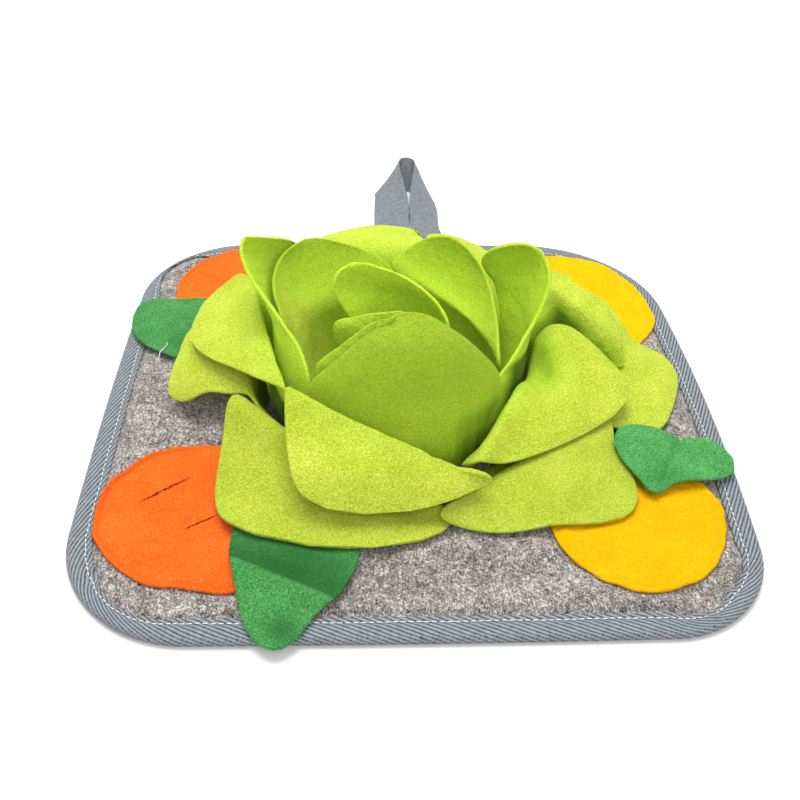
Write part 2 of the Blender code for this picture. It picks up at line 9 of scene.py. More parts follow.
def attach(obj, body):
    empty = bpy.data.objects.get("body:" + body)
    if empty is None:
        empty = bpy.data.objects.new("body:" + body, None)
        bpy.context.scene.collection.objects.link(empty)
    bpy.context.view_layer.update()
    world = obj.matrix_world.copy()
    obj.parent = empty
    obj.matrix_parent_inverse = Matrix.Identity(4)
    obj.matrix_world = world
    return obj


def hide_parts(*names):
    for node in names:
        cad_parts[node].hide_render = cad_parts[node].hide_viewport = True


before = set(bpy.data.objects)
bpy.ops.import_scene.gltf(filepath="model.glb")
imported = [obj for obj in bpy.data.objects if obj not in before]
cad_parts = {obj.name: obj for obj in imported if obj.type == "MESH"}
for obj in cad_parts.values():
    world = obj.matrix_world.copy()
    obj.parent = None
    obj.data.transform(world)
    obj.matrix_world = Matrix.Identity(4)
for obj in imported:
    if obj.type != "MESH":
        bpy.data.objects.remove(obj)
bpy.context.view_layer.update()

MM = 0.001

# ---------------------------------------------------------------- sizes, mm
MAT_HALF = 160.0            # half the side of the square mat
CORNER_RADIUS = (73.0, 62.0, 60.0, 47.5)   # back right, back left, front left, front right
SIDE_BOW = (1.6, 3.4, 1.3, 9.7)            # outward bow: back, left, front, right

FELT_TOP = 5.0              # felt thickness in the open field
FELT_RIM_LOW = 1.35         # felt under the tape is squeezed to this band
FELT_RIM_TOP = 3.65
TAPE = 1.0                  # tape thickness
BINDING_WIDTH = 12.0        # leg of the folded 25 mm tape seen on each face
BINDING_TOP = 5.0

FLEECE = 2.0                # petal, leaf and disc thickness
GAP = 0.3                   # air left between neighbouring solids
CLEAR = 3.4                 # distance kept between two mid surfaces
REACH = 15.0                # how far through a neighbour a point is still brought back

GRID_LONG = 19              # working grid of a petal, root to tip
GRID_WIDE = 15


# Petals. Each row is one section across the sheet, from the sewn root to the
# free end: left edge x y z, right edge x y z (left and right as seen from
# outside the flower), belly = how far the middle swells to the outer side,
# bow = how far the middle runs ahead of the two edges.
PETALS = {
    "cup_front": (
        ( -34,  -50,  6.5,   34,  -50,  6.5,   16,    0),
        ( -42,  -50,   28,   35,  -54,   20,   19,    0),
        ( -50,  -45,   52,   46,  -36,   46,   21,    0),
        ( -38,  -44,   64,   32,  -40,   67,   17,    2),
        ( -25,  -44,   78,   18,  -42,   81,   10,    4),
        ( -14,  -43,   87,    5,  -42,   90,    2,    3),
    ),
    "cup_front_inner": (
        ( -20,  -36,  6.5,   14,  -38,  6.5,    8,    0),
        ( -30,  -36,   32,   18,  -40,   28,    8,    0),
        ( -46,  -38,   57,   24,  -34,   46,   12,    0),
        ( -34,  -38,   68,   20,  -33,   58,    9,    2),
        ( -24,  -37,   77,   14,  -31,   67,    5,    3),
        ( -16,  -36,   83,    2,  -31,   71,    1,    2),
    ),
    "bud_front": (
        ( -20,  -26,  6.5,   10,  -28,  6.5,    8,    0),
        ( -29,  -23,   34,   14,  -28,   34,    9,    0),
        ( -36,  -19,   51,   12,  -26,   54,    8,    0),
        ( -38,  -18,   66,    8,  -24,   66,    6,    2),
        ( -34,  -18,   69,   -3,  -21,   77,    3,    2),
    ),
    "bud_back": (
        (   8,   -4,  6.5,  -12,   -2,  6.5,    8,    0),
        (  14,   -8,   35,  -22,   -4,   35,   14,    0),
        (  21,  -13,   61,  -30,   -6,   59,   18,    0),
        (  15,   -6,   70,  -38,   -4,   77,   15,    2),
        (   8,   -1,   75,  -37,   -1,   85,    9,    3),
        (  -1,    4,   80,  -32,    2,   90,    4,    3),
    ),
    "cup_back_left": (
        (  -8,   32,  6.5,  -48,   -8,  6.5,   12,    0),
        (  -6,   38,   36,  -58,  -12,   36,   16,    0),
        (  -6,   42,   60,  -66,   -2,   62,   18,    0),
        ( -13,   48,   63,  -71,   16,   66,   14,    2),
        ( -24,   54,   66,  -68,   36,   71,    7,    3),
        ( -39,   56,   70,  -58,   50,   74,    1,    2),
    ),
    "cup_left": (
        ( -52,    4,  6.5,  -44,  -40,  6.5,   10,    0),
        ( -64,   10,   36,  -50,  -44,   30,   10,    0),
        ( -67,   32,   54,  -50,  -37,   53,   10,    0),
        ( -66,   46,   56,  -67,  -10,   68,    8,    0),
        ( -63,   52,   62,  -79,    3,   76,    5,    0),
        ( -60,   57,   68,  -85,   14,   85,    2,    1),
        ( -66,   48,   76,  -85,   21,   93,    0,    0),
    ),
    "cup_back_right": (
        (  46,   -4,  6.5,    6,   32,  6.5,    8,    0),
        (  48,  -18,   34,    2,   42,   38,   12,    0),
        (  45,  -28,   50,   -8,   46,   58,   16,    0),
        (  47,    6,   57,   -1,   54,   64,   11,    0),
        (  43,   28,   66,   11,   56,   71,    5,    0),
        (  35,   40,   75,   23,   52,   77,    1,    0),
    ),
    "cup_right": (
        (   6,  -50,  6.5,   50,   18,  6.5,   26,    0),
        (  14,  -52,   26,   54,   26,   34,   27,    0),
        (  47,  -35,   48,   52,   36,   47,   17,    0),
        (  62,   -8,   58,   49,   41,   56,   12,    0),
        (  73,    8,   71,   42,   44,   64,    9,    0),
        (  74,   16,   77,   45,   42,   73,    6,    3),
        (  71,   22,   83,   52,   38,   78,    2,    3),
    ),
    "outer_front": (
        ( -46,  -56,  6.5,   20,  -72,  6.5,    8,    0),
        ( -54,  -57,   38,   26,  -77,   18,    6,    0),
        ( -60,  -60,   62,   34,  -88,   31,    3,    0),
        ( -60,  -72,   47,   37,  -86,   24,   -4,    0),
        ( -57,  -91,   36,   29,  -90,   22,   -3,    0),
        ( -51, -101,   25,   12,  -98,   19,   -1,    4),
    ),
    "outer_right": (
        (  30,  -60,  6.5,   60,   -2,  6.5,    4,    0),
        (  24,  -68,   17,   61,   -2,   28,    5,    0),
        (  27,  -77,   26,   64,    2,   51,    8,    0),
        (  32,  -80,   32,   82,   12,   46,   -3,    0),
        (  41,  -75,   23,   90,   10,   43,   -4,    0),
        (  61,  -66,   21,  101,    5,   37,   -4,    0),
        (  85,  -52,   20,  113,   -8,   30,   -3,    0),
        ( 103,  -41,   21,  119,  -19,   25,    0,    2),
    ),
    "outer_back_right": (
        (  64,    8,  6.5,   54,   44,  6.5,    6,    0),
        (  70,   10,   24,   60,   52,   36,    6,    0),
        (  91,   33,   20,   83,   52,   52,   -2,    0),
        ( 101,   23,   19,   95,   37,   50,   -3,    0),
        ( 112,   11,   18,  109,   27,   45,   -3,    0),
        ( 123,    7,   17,  120,   19,   36,    0,    0),
    ),
    "outer_left": (
        ( -60,   22,  6.5,  -60,  -36,  6.5,    8,    0),
        ( -72,   26,   36,  -64,  -44,   34,    8,    0),
        ( -82,   36,   50,  -60,  -50,   50,    2,    0),
        ( -91,   58,   48,  -70,  -41,   47,   -3,    0),
        (-102,   53,   42,  -88,  -23,   42,   -3,    0),
        (-112,   37,   40, -106,   -7,   38,   -2,    0),
        (-115,   23,   38, -115,    4,   37,    0,    1),
    ),
    "outer_back": (
        (  12,   48,  6.5,  -42,   40,  6.5,    8,    0),
        (  16,   56,   36,  -50,   48,   38,    8,    0),
        (  20,   72,   50,  -56,   64,   52,   -4,    0),
        (   7,  104,   48,  -47,   92,   50,   -4,    0),
        (  14,  126,   32,  -44,  120,   32,   -5,    0),
        (   4,  144,   14,  -32,  140,   14,   -2,    2),
    ),
    "outer_back_centre": (
        (  50,   26,  6.5,   18,   48,  6.5,    6,    0),
        (  56,   36,   32,   20,   58,   34,    6,    0),
        (  60,   54,   44,   18,   78,   45,   -2,    0),
        (  46,   74,   47,   16,  100,   45,   -4,    0),
        (  62,  102,   28,   24,  124,   30,   -4,    0),
        (  54,  120,   12,   32,  136,   13,   -1,    2),
    ),
    "lower_front": (
        ( -70,  -36,  6.5,   14,  -84,  6.5,    8,    0),
        ( -78,  -40,   30,   17,  -90,   11,    6,    0),
        ( -88,  -44,   45,   20,  -95,   11,    6,    0),
        ( -91,  -64,   31,   18, -100,   10,    3,    0),
        ( -94,  -86,   16,   12, -105,    9,   -2,    0),
        ( -89, -104,   10,   -3, -113,    8,    0,    6),
    ),
    "lower_right": (
        (  34,  -66,  6.5,   78,  -20,  6.5,    6,    0),
        (  30,  -83,   12,   90,  -27,   14,    4,    0),
        (  11,  -97,   15,  107,  -32,   18,   -1,    0),
        (  17, -100,    9,  105,  -55,   15,   -4,    0),
        (  41, -105,    7,  110,  -68,   12,   -4,    0),
        (  70, -102,    9,  111,  -83,   10,   -1,    3),
        (  84, -102,    9,  109,  -91,    9,    0,    3),
    ),
    "lower_far_right": (
        (  78,  -26,  6.5,   74,   32,  6.5,    2,    0),
        (  90,  -32,   12,   82,   42,   15,    1,    0),
        ( 106,  -38,   14,  113,   83,   20,    0,    0),
        ( 115,  -38,   12,  128,   66,   20,   -2,    0),
        ( 126,  -37,   10,  134,   33,   16,   -2,    0),
        ( 137,  -32,    8,  150,   28,   12,   -2,    0),
        ( 148,  -12,    8,  156,   15,    9,    0,    2),
    ),
    "lower_left": (
        ( -66,   26,  6.5,  -74,  -38,  6.5,    6,    0),
        ( -76,   30,   28,  -80,  -42,   22,    4,    0),
        ( -88,   34,   34,  -83,  -29,   30,   -2,    0),
        (-102,   34,   34,  -92,  -26,   27,   -3,    0),
        (-114,   31,   31, -105,  -19,   24,   -4,    0),
        (-120,   24,   29, -116,  -17,   15,   -4,    0),
        (-122,   13,   25, -128,  -10,   11,   -3,    1),
    ),
    "lower_back_right": (
        (  66,   34,  6.5,   46,   56,  6.5,    6,    0),
        (  78,   46,   26,   56,   68,   28,    4,    0),
        ( 103,   71,   32,   64,   92,   26,   -3,    0),
        ( 102,   84,   30,   74,  108,   14,   -2,    2),
    ),
    "lower_back_left": (
        ( -46,   44,  6.5,  -66,   20,  6.5,    6,    0),
        ( -58,   62,   28,  -80,   32,   28,    4,    0),
        ( -70,   84,   28,  -98,   44,   32,   -3,    0),
        ( -82,   98,   12, -112,   64,   14,    0,    3),
    ),}

# Order in which the petals are settled, with their layer (small = innermost),
# how much of the width is left at the free end and over which share of the
# length the corners are rounded.
#   name, layer, end_width, round_share, outward roll of the left and right edge
LAYERS = (
    ("cup_front", 5.0, 0.50, 0.06, 3, 0),
    ("bud_back", 1.0, 0.60, 0.10, 0, 2),
    ("bud_front", 2.0, 0.85, 0.06, 0, 0),
    ("cup_back_left", 3.0, 0.60, 0.10, 0, 0),
    ("cup_back_right", 3.5, 0.50, 0.04, 0, 0),
    ("cup_left", 4.0, 0.85, 0.04, 0, 0),
    ("cup_right", 4.2, 0.70, 0.12, 2, 0),
    ("cup_front_inner", 4.1, 0.50, 0.06, 0, 0),
    ("outer_right", 6.0, 0.60, 0.08, 0, 0),
    ("outer_front", 6.5, 0.60, 0.08, 0, 0),
    ("outer_left", 6.2, 0.60, 0.08, 0, 0),
    ("outer_back_right", 7.0, 0.75, 0.08, 0, 11),
    ("outer_back", 6.4, 0.60, 0.10, 0, 0),
    ("outer_back_centre", 6.8, 0.60, 0.10, 0, 0),
    ("lower_right", 8.0, 0.60, 0.08, 0, 0),
    ("lower_front", 9.0, 0.60, 0.08, 0, 0),
    ("lower_far_right", 8.5, 0.60, 0.10, 0, 0),
    ("lower_left", 8.2, 0.75, 0.06, 0, 0),
    ("lower_back_right", 8.3, 0.60, 0.10, 0, 0),
    ("lower_back_left", 8.6, 0.60, 0.10, 0, 0),
)


# Hollows pressed into a folded-out petal: line of x y seen from above, half
# width and depth.
HOLLOWS = {
    "outer_right": ((((65, -13), (67, -18), (69, -22)), 16, 16),),
}


# ------------------------------------------------------------ sheet shaping
def unit(a):
    return a / np.maximum(np.linalg.norm(a, axis=-1, keepdims=True), 1e-9)


def smooth_rows(rows, count):
    """Rows resampled on a smooth curve, a little closer together at the free end."""
    tab = np.asarray(rows, float)
    m = len(tab)
    mid = (tab[:, 0:3] + tab[:, 3:6]) / 2
    step = (np.linalg.norm(np.diff(mid, axis=0), axis=1)
            + np.linalg.norm(np.diff(tab[:, 0:3], axis=0), axis=1)
            + np.linalg.norm(np.diff(tab[:, 3:6], axis=0), axis=1)) / 3
    t = np.concatenate([[0.0], np.cumsum(step)])
    s = 1 - (1 - np.linspace(0, 1, count)) ** 1.35
    slope = np.zeros_like(tab)
    chord = np.diff(tab, axis=0) / step[:, None]
    slope[0], slope[-1] = chord[0], chord[-1]
    for i in range(1, m - 1):
        slope[i] = (chord[i - 1] * step[i] + chord[i] * step[i - 1]) / (step[i] + step[i - 1])
    out = []
    for x in s * t[-1]:
        i = min(max(int(np.searchsorted(t, x, side="right")) - 1, 0), m - 2)
        h = step[i]
        q = (x - t[i]) / h
        out.append((2 * q**3 - 3 * q**2 + 1) * tab[i] + (q**3 - 2 * q**2 + q) * h * slope[i]
                   + (3 * q**2 - 2 * q**3) * tab[i + 1] + (q**3 - q**2) * h * slope[i + 1])
    return np.array(out), s


def relax_along(a, rounds):
    for _ in range(rounds):
        b = a.copy()
        b[1:-1] = a[1:-1] * 0.5 + (a[:-2] + a[2:]) * 0.25
        a = b
    return a


def petal_sheet(rows, end_width, round_share, n_long, n_wide, rolls=(0.0, 0.0)):
    """Mid surface of a petal as an n_long x n_wide grid of points."""
    r, s = smooth_rows(rows, n_long)
    left, right = r[:, 0:3], r[:, 3:6]
    mid, half = (left + right) / 2, (right - left) / 2
    along = unit(relax_along(unit(np.gradient(mid, axis=0)), 10))
    out = unit(relax_along(unit(np.cross(half, along)), 10))
    v = np.linspace(-1, 1, n_wide)
    v = 0.35 * np.sin(v * math.pi / 4) / math.sin(math.pi / 4) + 0.65 * v
    q = np.clip((s - (1 - round_share)) / round_share, 0, 1)
    width = end_width + (1 - end_width) * np.sqrt(1 - q**2)
    grid = np.zeros((n_long, n_wide, 3))
    for j, vv in enumerate(v):
        w = vv * width
        grid[:, j] = (mid + half * w[:, None] + out * (r[:, 6] * (1 - w**2))[:, None]
                      + along * (r[:, 7] * (1 - w**2))[:, None])
        roll = rolls[0] if vv < 0 else rolls[1]
        lift = roll * max(abs(vv) - 0.55, 0.0) / 0.45
        grid[:, j] += out * (lift * np.sin(math.pi * np.minimum(s * 1.25, 0.5)))[:, None]
    return grid


def hollow(grid, line, half_width, depth):
    """The grid pressed down along a line seen from above, with soft sides."""
    p = grid[..., :2]
    best = np.full(p.shape[:2], 1e9)
    for a, b in zip(line[:-1], line[1:]):
        a, b = np.array(a, float), np.array(b, float)
        t = np.clip(((p - a) @ (b - a)) / float((b - a) @ (b - a)), 0, 1)
        best = np.minimum(best, np.linalg.norm(p - a - t[..., None] * (b - a), axis=-1))
    q = np.clip(1 - best / half_width, 0, 1)
    out = grid.copy()
    out[..., 2] -= depth * q * q * (3 - 2 * q) * np.clip((grid[..., 2] - 12) / 16, 0, 1)
    return out


def grid_faces(n_long, n_wide):
    """Quads whose normals point to the outer side of the sheet."""
    f = []
    for i in range(n_long - 1):
        for j in range(n_wide - 1):
            a = i * n_wide + j
            f.append((a, a + 1, a + n_wide + 1, a + n_wide))
    return f


def grid_normals(grid):
    return unit(np.cross(np.gradient(grid, axis=1), np.gradient(grid, axis=0)))


def blur(delta, share):
    """One smoothing pass over a grid of vectors."""
    pad = np.pad(delta, ((1, 1), (1, 1), (0, 0)), mode="edge")
    near = (pad[:-2, 1:-1] + pad[2:, 1:-1] + pad[1:-1, :-2] + pad[1:-1, 2:]) / 4
    return delta * (1 - share) + near * share


def tree_of(points, faces):
    return BVHTree.FromPolygons([Vector(p) for p in points], faces, all_triangles=False)


def keep_off(p, tree, side):
    """The point p moved to the wanted side of one settled sheet, at least CLEAR away."""
    q, n, _, dist = tree.find_nearest(Vector(p), REACH)
    if q is None:
        return p
    q, n = np.array(q), np.array(n) * side
    away = p - q
    height = float(away @ n)
    facing = abs(height) > 0.7 * dist
    if facing and height < CLEAR:
        return q + (away - n * height) + n * CLEAR
    if not facing and dist < CLEAR:
        return q + (away / dist if dist > 1e-6 else n) * CLEAR
    return p


def settle(grid, layer, settled, floor):
    """Push a petal clear of every settled sheet, keeping the change smooth."""
    low = grid.reshape(-1, 3).min(0) - REACH
    high = grid.reshape(-1, 3).max(0) + REACH
    near = [s for s in settled if np.all(s["high"] > low) and np.all(s["low"] < high)]
    delta = np.zeros_like(grid)
    for turn in range(26):
        now = grid + delta
        for i in range(grid.shape[0]):
            for j in range(grid.shape[1]):
                p = now[i, j]
                for s in near:
                    p = keep_off(p, s["tree"], 1.0 if layer > s["layer"] else -1.0)
                p[2] = max(p[2], floor(p[0], p[1]))
                now[i, j] = p
        delta = now - grid
        if turn < 24:
            delta = blur(delta, 0.55 if turn < 18 else 0.25)
    return grid + delta


# ------------------------------------------------------------------- solids
def mat_outline(inset, corner_steps, side_steps):
    """Outline of the mat, moved inward by inset: a list of x, y."""
    pts = []
    signs = ((1, 1), (-1, 1), (-1, -1), (1, -1))
    for k, ((sx, sy), r) in enumerate(zip(signs, CORNER_RADIUS)):
        c = MAT_HALF - r
        for i in range(corner_steps + 1):
            a = math.radians(90 * k + 90 * i / corner_steps)
            pts.append((sx * c + (r - inset) * math.cos(a), sy * c + (r - inset) * math.sin(a)))
        end = pts[-1]
        nx, ny = signs[(k + 1) % 4]
        rn = CORNER_RADIUS[(k + 1) % 4]
        a = math.radians(90 * (k + 1))
        start = (nx * (MAT_HALF - rn) + (rn - inset) * math.cos(a),
                 ny * (MAT_HALF - rn) + (rn - inset) * math.sin(a))
        for i in range(1, side_steps):
            t = i / side_steps
            pts.append((end[0] + (start[0] - end[0]) * t, end[1] + (start[1] - end[1]) * t))
    back, left, front, right = SIDE_BOW
    out = []
    for x, y in pts:
        ax, ay = 1 - (x / MAT_HALF) ** 2, 1 - (y / MAT_HALF) ** 2
        dx = (right * ay if x > MAT_HALF / 2 else 0) - (left * ay if x < -MAT_HALF / 2 else 0)
        dy = (back * ax if y > MAT_HALF / 2 else 0) - (front * ax if y < -MAT_HALF / 2 else 0)
        out.append((x + dx, y + dy))
    return out


# hanging loop, a 25 mm tape: lower (outer) edge x y z and upper (inner) edge
# x y z, from the left leg round the standing end to the right leg
LOOP_ROWS = (
    (-14.0, 162.6, 2.6, 10.1, 162.6, 2.6),
    (-14.0, 174.0, 0.9, 10.2, 174.0, 1.2),
    (-14.0, 195.0, 0.8, 10.7, 195.0, 3.6),
    (-13.4, 220.0, 0.8, 10.7, 214.0, 9.6),
    (-12.6, 234.0, 0.8, 8.2, 231.0, 15.2),
    (-10.6, 242.5, 0.8, 5.2, 250.0, 21.0),
    (-6.0, 244.2, 0.8, 5.6, 254.4, 21.7),
    (0.0, 245.5, 0.8, 7.0, 257.0, 22.0),
    (11.5, 246.0, 0.8, 10.5, 258.5, 22.2),
    (22.0, 243.5, 0.8, 14.2, 257.0, 22.0),
    (27.0, 239.0, 0.8, 16.2, 254.4, 21.6),
    (29.5, 232.5, 0.8, 16.6, 250.0, 20.8),
    (31.8, 220.0, 0.8, 14.0, 234.0, 16.0),
    (32.2, 208.0, 0.8, 11.9, 214.0, 9.6),
    (32.0, 192.0, 0.8, 11.7, 195.0, 3.6),
    (34.4, 174.0, 0.9, 11.5, 174.0, 1.2),
    (35.0, 162.6, 2.6, 11.5, 162.6, 2.6),
)

# flat fleece discs: centre, height of the underside, then radius at each
# whole share of a turn (12 of them, from +X towards +Y)
DISCS = (
    ("disc_front_left", "orange", (-101, -89), (46, 47, 48, 47, 50, 52, 51, 49, 47, 46, 54, 48)),
    ("disc_back_left", "orange", (-98, 104), (44, 45, 46, 47, 45, 43, 43, 44, 45, 45, 44, 44)),
    ("disc_front_right", "yellow", (108, -94), (45, 45, 45, 45, 44, 43, 43, 44, 45, 46, 44, 43)),
    ("disc_back_right", "yellow", (112, 88), (46, 46, 51, 55, 56, 52, 48, 46, 48, 52, 54, 51)),
)
DISC_LOW = 5.7
DISC_RINGS = 3
DISC_STEPS = 28

# loose leaves, same columns as the petals
LEAVES = {
    "leaf_front_left": (
        (   -84,    -92,      7,    -26,    -98,      7,      0,      0),
        (   -85,   -110,    7.5,  -25.5, -119.5,      7,      0,      0),
        ( -83.5, -123.5,     12,    -36,   -144,   11.5,      0,      0),
        (   -81,   -133,    8.5,    -41,   -146,      8,      0,      0),
        (   -77, -147.5,      7,  -47.5, -153.5,      7,      0,      0),
        ( -72.5, -159.5,      7,  -52.5,   -162,      7,      0,      1),
        (   -69,   -164,      7,  -55.5,   -165,      7,      0,      2),
    ),
    "leaf_back_left": (
        (  -106,     78,      9,   -112,     32,      9,      0,      0),
        (  -121,   86.5,      9, -121.5,   24.5,      9,      0,      0),
        (  -133,     86,     10, -136.5,   31.5,    9.5,      0,      0),
        (-148.5,   86.5,      9, -149.5,     41,    8.5,      0,      0),
        (-160.5,   85.5,    7.5, -159.5,   52.5,      8,      0,      2),
    ),
    "leaf_front_right": (
        ( 103.5,  -55.5,     20,    108,  -44.5,     19,      0,      0),
        ( 105.5,    -67,     18,    116,  -40.5,     19,      0,      0),
        (   112,    -74,     15,  126.5,    -42,     18,      0,      0),
        ( 117.5,    -86,     12,  135.5,  -44.5,     16,      0,      0),
        (   128,  -78.5,     13,  142.5,    -47,     14,      0,      0),
        ( 138.5,  -76.5,     13,    151,  -45.5,     14,      0,      0),
        (   152,    -74,     11,  159.5,    -49,     13,      0,      0),
        ( 164.5,    -68,      9,    167,  -56.5,     10,      0,      0),
    ),
}
#   name, layer, end_width, round_share
LEAF_LAYERS = (
    ("leaf_front_left", 11.0, 0.55, 0.10),
    ("leaf_back_left", 11.0, 0.60, 0.12),
    ("leaf_front_right", 7.8, 0.75, 0.12),
)


def disc_grid(centre, radii):
    """Rings of points of a flat disc, on a smooth closed curve through the radii."""
    n = len(radii)
    rim = []
    for i in range(DISC_STEPS):
        t = i * n / DISC_STEPS
        k, q = int(t), t - int(t)
        r0, r1, r2, r3 = (radii[(k + d) % n] for d in (-1, 0, 1, 2))
        r = r1 + 0.5 * q * (r2 - r0 + q * (2 * r0 - 5 * r1 + 4 * r2 - r3 + q * (3 * (r1 - r2) + r3 - r0)))
        a = 2 * math.pi * i / DISC_STEPS
        rim.append((centre[0] + r * math.cos(a), centre[1] + r * math.sin(a)))
    return rim

# ------------------------------------------------------------ finer surfaces
RIM = (0.5, 0.866, 1.0)     # round rim: steps outward, in half thicknesses
RIM_HALF = (0.866, 0.5, 0.0)
FINER = 4                   # fine points for each step of the working grid


def cubic_index(count, fine, inset_lo, inset_hi):
    """Positions along a row of count points, inset a little at both ends, with the weights
    of a smooth curve through the four points round each."""
    t = np.linspace(inset_lo, count - 1 - inset_hi, fine)
    k = np.clip(t.astype(int), 0, count - 2)
    q = (t - k)[:, None]
    idx = np.clip(k[:, None] + np.array([-1, 0, 1, 2]), 0, count - 1)
    w = np.hstack([-q**3 + 2 * q**2 - q, 3 * q**3 - 5 * q**2 + 2,
                   -3 * q**3 + 4 * q**2 + q, q**3 - q**2]) / 2
    return idx, w


def finer(grid, long, wide, edge):
    """The grid again as long x wide points, its border drawn in by edge millimetres."""
    n, m = grid.shape[:2]
    ends = [np.linalg.norm(grid[a] - grid[b], axis=1).mean()
            for a, b in ((1, 0), (-1, -2))]
    sides = [np.linalg.norm(grid[:, a] - grid[:, b], axis=1).mean()
             for a, b in ((1, 0), (-1, -2))]
    i, wi = cubic_index(n, long, min(edge / ends[0], 0.9), min(edge / ends[1], 0.9))
    j, wj = cubic_index(m, wide, min(edge / sides[0], 0.9), min(edge / sides[1], 0.9))
    rows = (grid[i] * wi[:, :, None, None]).sum(1)
    return (rows[:, j] * wj[None, :, :, None]).sum(2)


def waves(points, size, seed, count=14):
    """Smooth unevenness in about -1..1: a sum of sine waves near the given size."""
    r = np.random.default_rng(seed)
    total = np.zeros(points.shape[:-1])
    for _ in range(count):
        d = r.normal(size=3)
        d /= np.linalg.norm(d)
        total += np.sin(points @ d * (2 * math.pi / (size * r.uniform(0.7, 1.6))) + r.uniform(0, 6.3))
    return total / math.sqrt(count)


def trough(points, line, width):
    """1 on a polyline of (x, y) points and 0 a width or more away from it, seen from above."""
    best = np.full(points.shape[:-1], 1e9)
    p = points[..., :2]
    for a, b in zip(line[:-1], line[1:]):
        a, b = np.array(a[:2], float), np.array(b[:2], float)
        t = np.clip(((p - a) @ (b - a)) / max(float((b - a) @ (b - a)), 1e-9), 0, 1)
        best = np.minimum(best, np.linalg.norm(p - a - t[..., None] * (b - a), axis=-1))
    return np.clip(1 - best / width, 0, 1) ** 2 * (1 + 2 * np.clip(best / width, 0, 1))


def mesh_object(name, points, faces, mat, smooth=True):
    mesh = bpy.data.meshes.new(name)
    pts = np.asarray(points, np.float64).reshape(-1, 3) * MM
    mesh.from_pydata(pts.tolist(), [], faces)
    mesh.materials.append(mat)
    if smooth:
        mesh.shade_smooth()
    ob = bpy.data.objects.new(name, mesh)
    bpy.context.scene.collection.objects.link(ob)
    return ob


def quads(n, m, first=0, flip=False):
    a = (np.arange(n - 1)[:, None] * m + np.arange(m - 1)[None, :] + first).reshape(-1, 1)
    f = np.hstack([a, a + 1, a + m + 1, a + m])
    return f[:, ::-1] if flip else f


def cloth_mesh(name, grid, thick, mat, long, wide, bumps=(), edge=0.9, seed=1, wob=0.35):
    """Closed cloth with a round rim on a mid surface grid. bumps are functions of the
    points that give how far both faces move along the normal."""
    g = finer(grid, long, wide, edge)
    n = grid_normals(g)
    for _ in range(3):
        n = unit(blur(n, 0.6))
    lift = wob * waves(g, 26, seed) + 0.35 * wob * waves(g, 9, seed + 50)
    for b in bumps:
        lift = lift + b(g)
    g = g + n * lift[..., None]
    n = grid_normals(g)
    for _ in range(2):
        n = unit(blur(n, 0.6))
    half = np.full(g.shape[:2], thick / 2)
    # tiny pile unevenness on both faces
    pile_top = 0.10 * waves(g, 3.2, seed + 7, 24)
    pile_low = 0.10 * waves(g, 3.2, seed + 8, 24)
    r = thick / 2
    k = len(RIM)
    for axis in (0, 1):
        lead, tail, nl, nt = [], [], [], []
        first = np.take(g, 0, axis)
        last = np.take(g, -1, axis)
        e0 = unit(first - np.take(g, 1, axis))
        e1 = unit(last - np.take(g, -2, axis))
        for d in RIM:
            lead.insert(0, first + e0 * d * r)
            tail.append(last + e1 * d * r)
        join = lambda a, b, c: np.concatenate([a, b, c], axis)
        g = join(np.stack(lead, axis), g, np.stack(tail, axis))
        for arr_name in ("n",):
            f, l = np.take(n, [0] * k, axis), np.take(n, [-1] * k, axis)
            n = join(f, n, l)
        pile_top = join(np.take(pile_top, [0] * k, axis), pile_top, np.take(pile_top, [-1] * k, axis))
        pile_low = join(np.take(pile_low, [0] * k, axis), pile_low, np.take(pile_low, [-1] * k, axis))
        h0 = np.take(half, 0, axis)
        share = np.array(RIM_HALF[::-1])
        lo = np.stack([h0 * s for s in share], axis)
        hi = np.stack([np.take(half, -1, axis) * s for s in share[::-1]], axis)
        half = join(lo, half, hi)
    # a corner takes the smaller of its two rim heights
    N, M = half.shape
    inner = np.ones((N, M), bool)
    inner[0] = inner[-1] = False
    inner[:, 0] = inner[:, -1] = False
    half[~inner] = 0
    top = g + n * (half + pile_top * (half / r))[..., None]
    low = g - n * (half + pile_low * (half / r))[..., None]
    pts = np.vstack([top.reshape(-1, 3), low[inner]])
    index = np.full((N, M), -1)
    index[inner] = N * M + np.arange(inner.sum())
    ring = np.arange(N * M).reshape(N, M)
    index[~inner] = ring[~inner]
    f_top = quads(N, M)
    f_low = index.reshape(-1)[quads(N, M)][:, ::-1]
    faces = f_top.tolist() + f_low.tolist()
    ob = mesh_object(name, pts, faces, mat)
    area = np.linalg.norm(np.cross(g[1:, :-1] - g[:-1, :-1], g[:-1, 1:] - g[:-1, :-1]), axis=-1).sum()
    return ob, g, n, area, top.reshape(-1, 3), low[inner]


# ---------------------------------------------------------------- materials
def srgb(r, g, b):
    """Linear colour from the eight bit values seen in daylight."""
    lin = [(c / 255 / 12.92) if c / 255 <= 0.04045 else ((c / 255 + 0.055) / 1.055) ** 2.4
           for c in (r, g, b)]
    return (*lin, 1.0)


class Shader:
    """Small helper to write node trees."""

    def __init__(self, name):
        self.mat = bpy.data.materials.new(name)
        self.mat.use_nodes = True
        self.tree = self.mat.node_tree
        self.out = self.tree.nodes["Principled BSDF"]

    def node(self, kind, **values):
        n = self.tree.nodes.new(kind)
        for k, v in values.items():
            if k.startswith("in_"):
                key = k[3:]
                n.inputs[int(key) if key.isdigit() else key.replace("_", " ")].default_value = v
            else:
                setattr(n, k, v)
        return n

    def link(self, a, b):
        self.tree.links.new(a, b)

    def set(self, **values):
        for k, v in values.items():
            self.out.inputs[k.replace("_", " ")].default_value = v


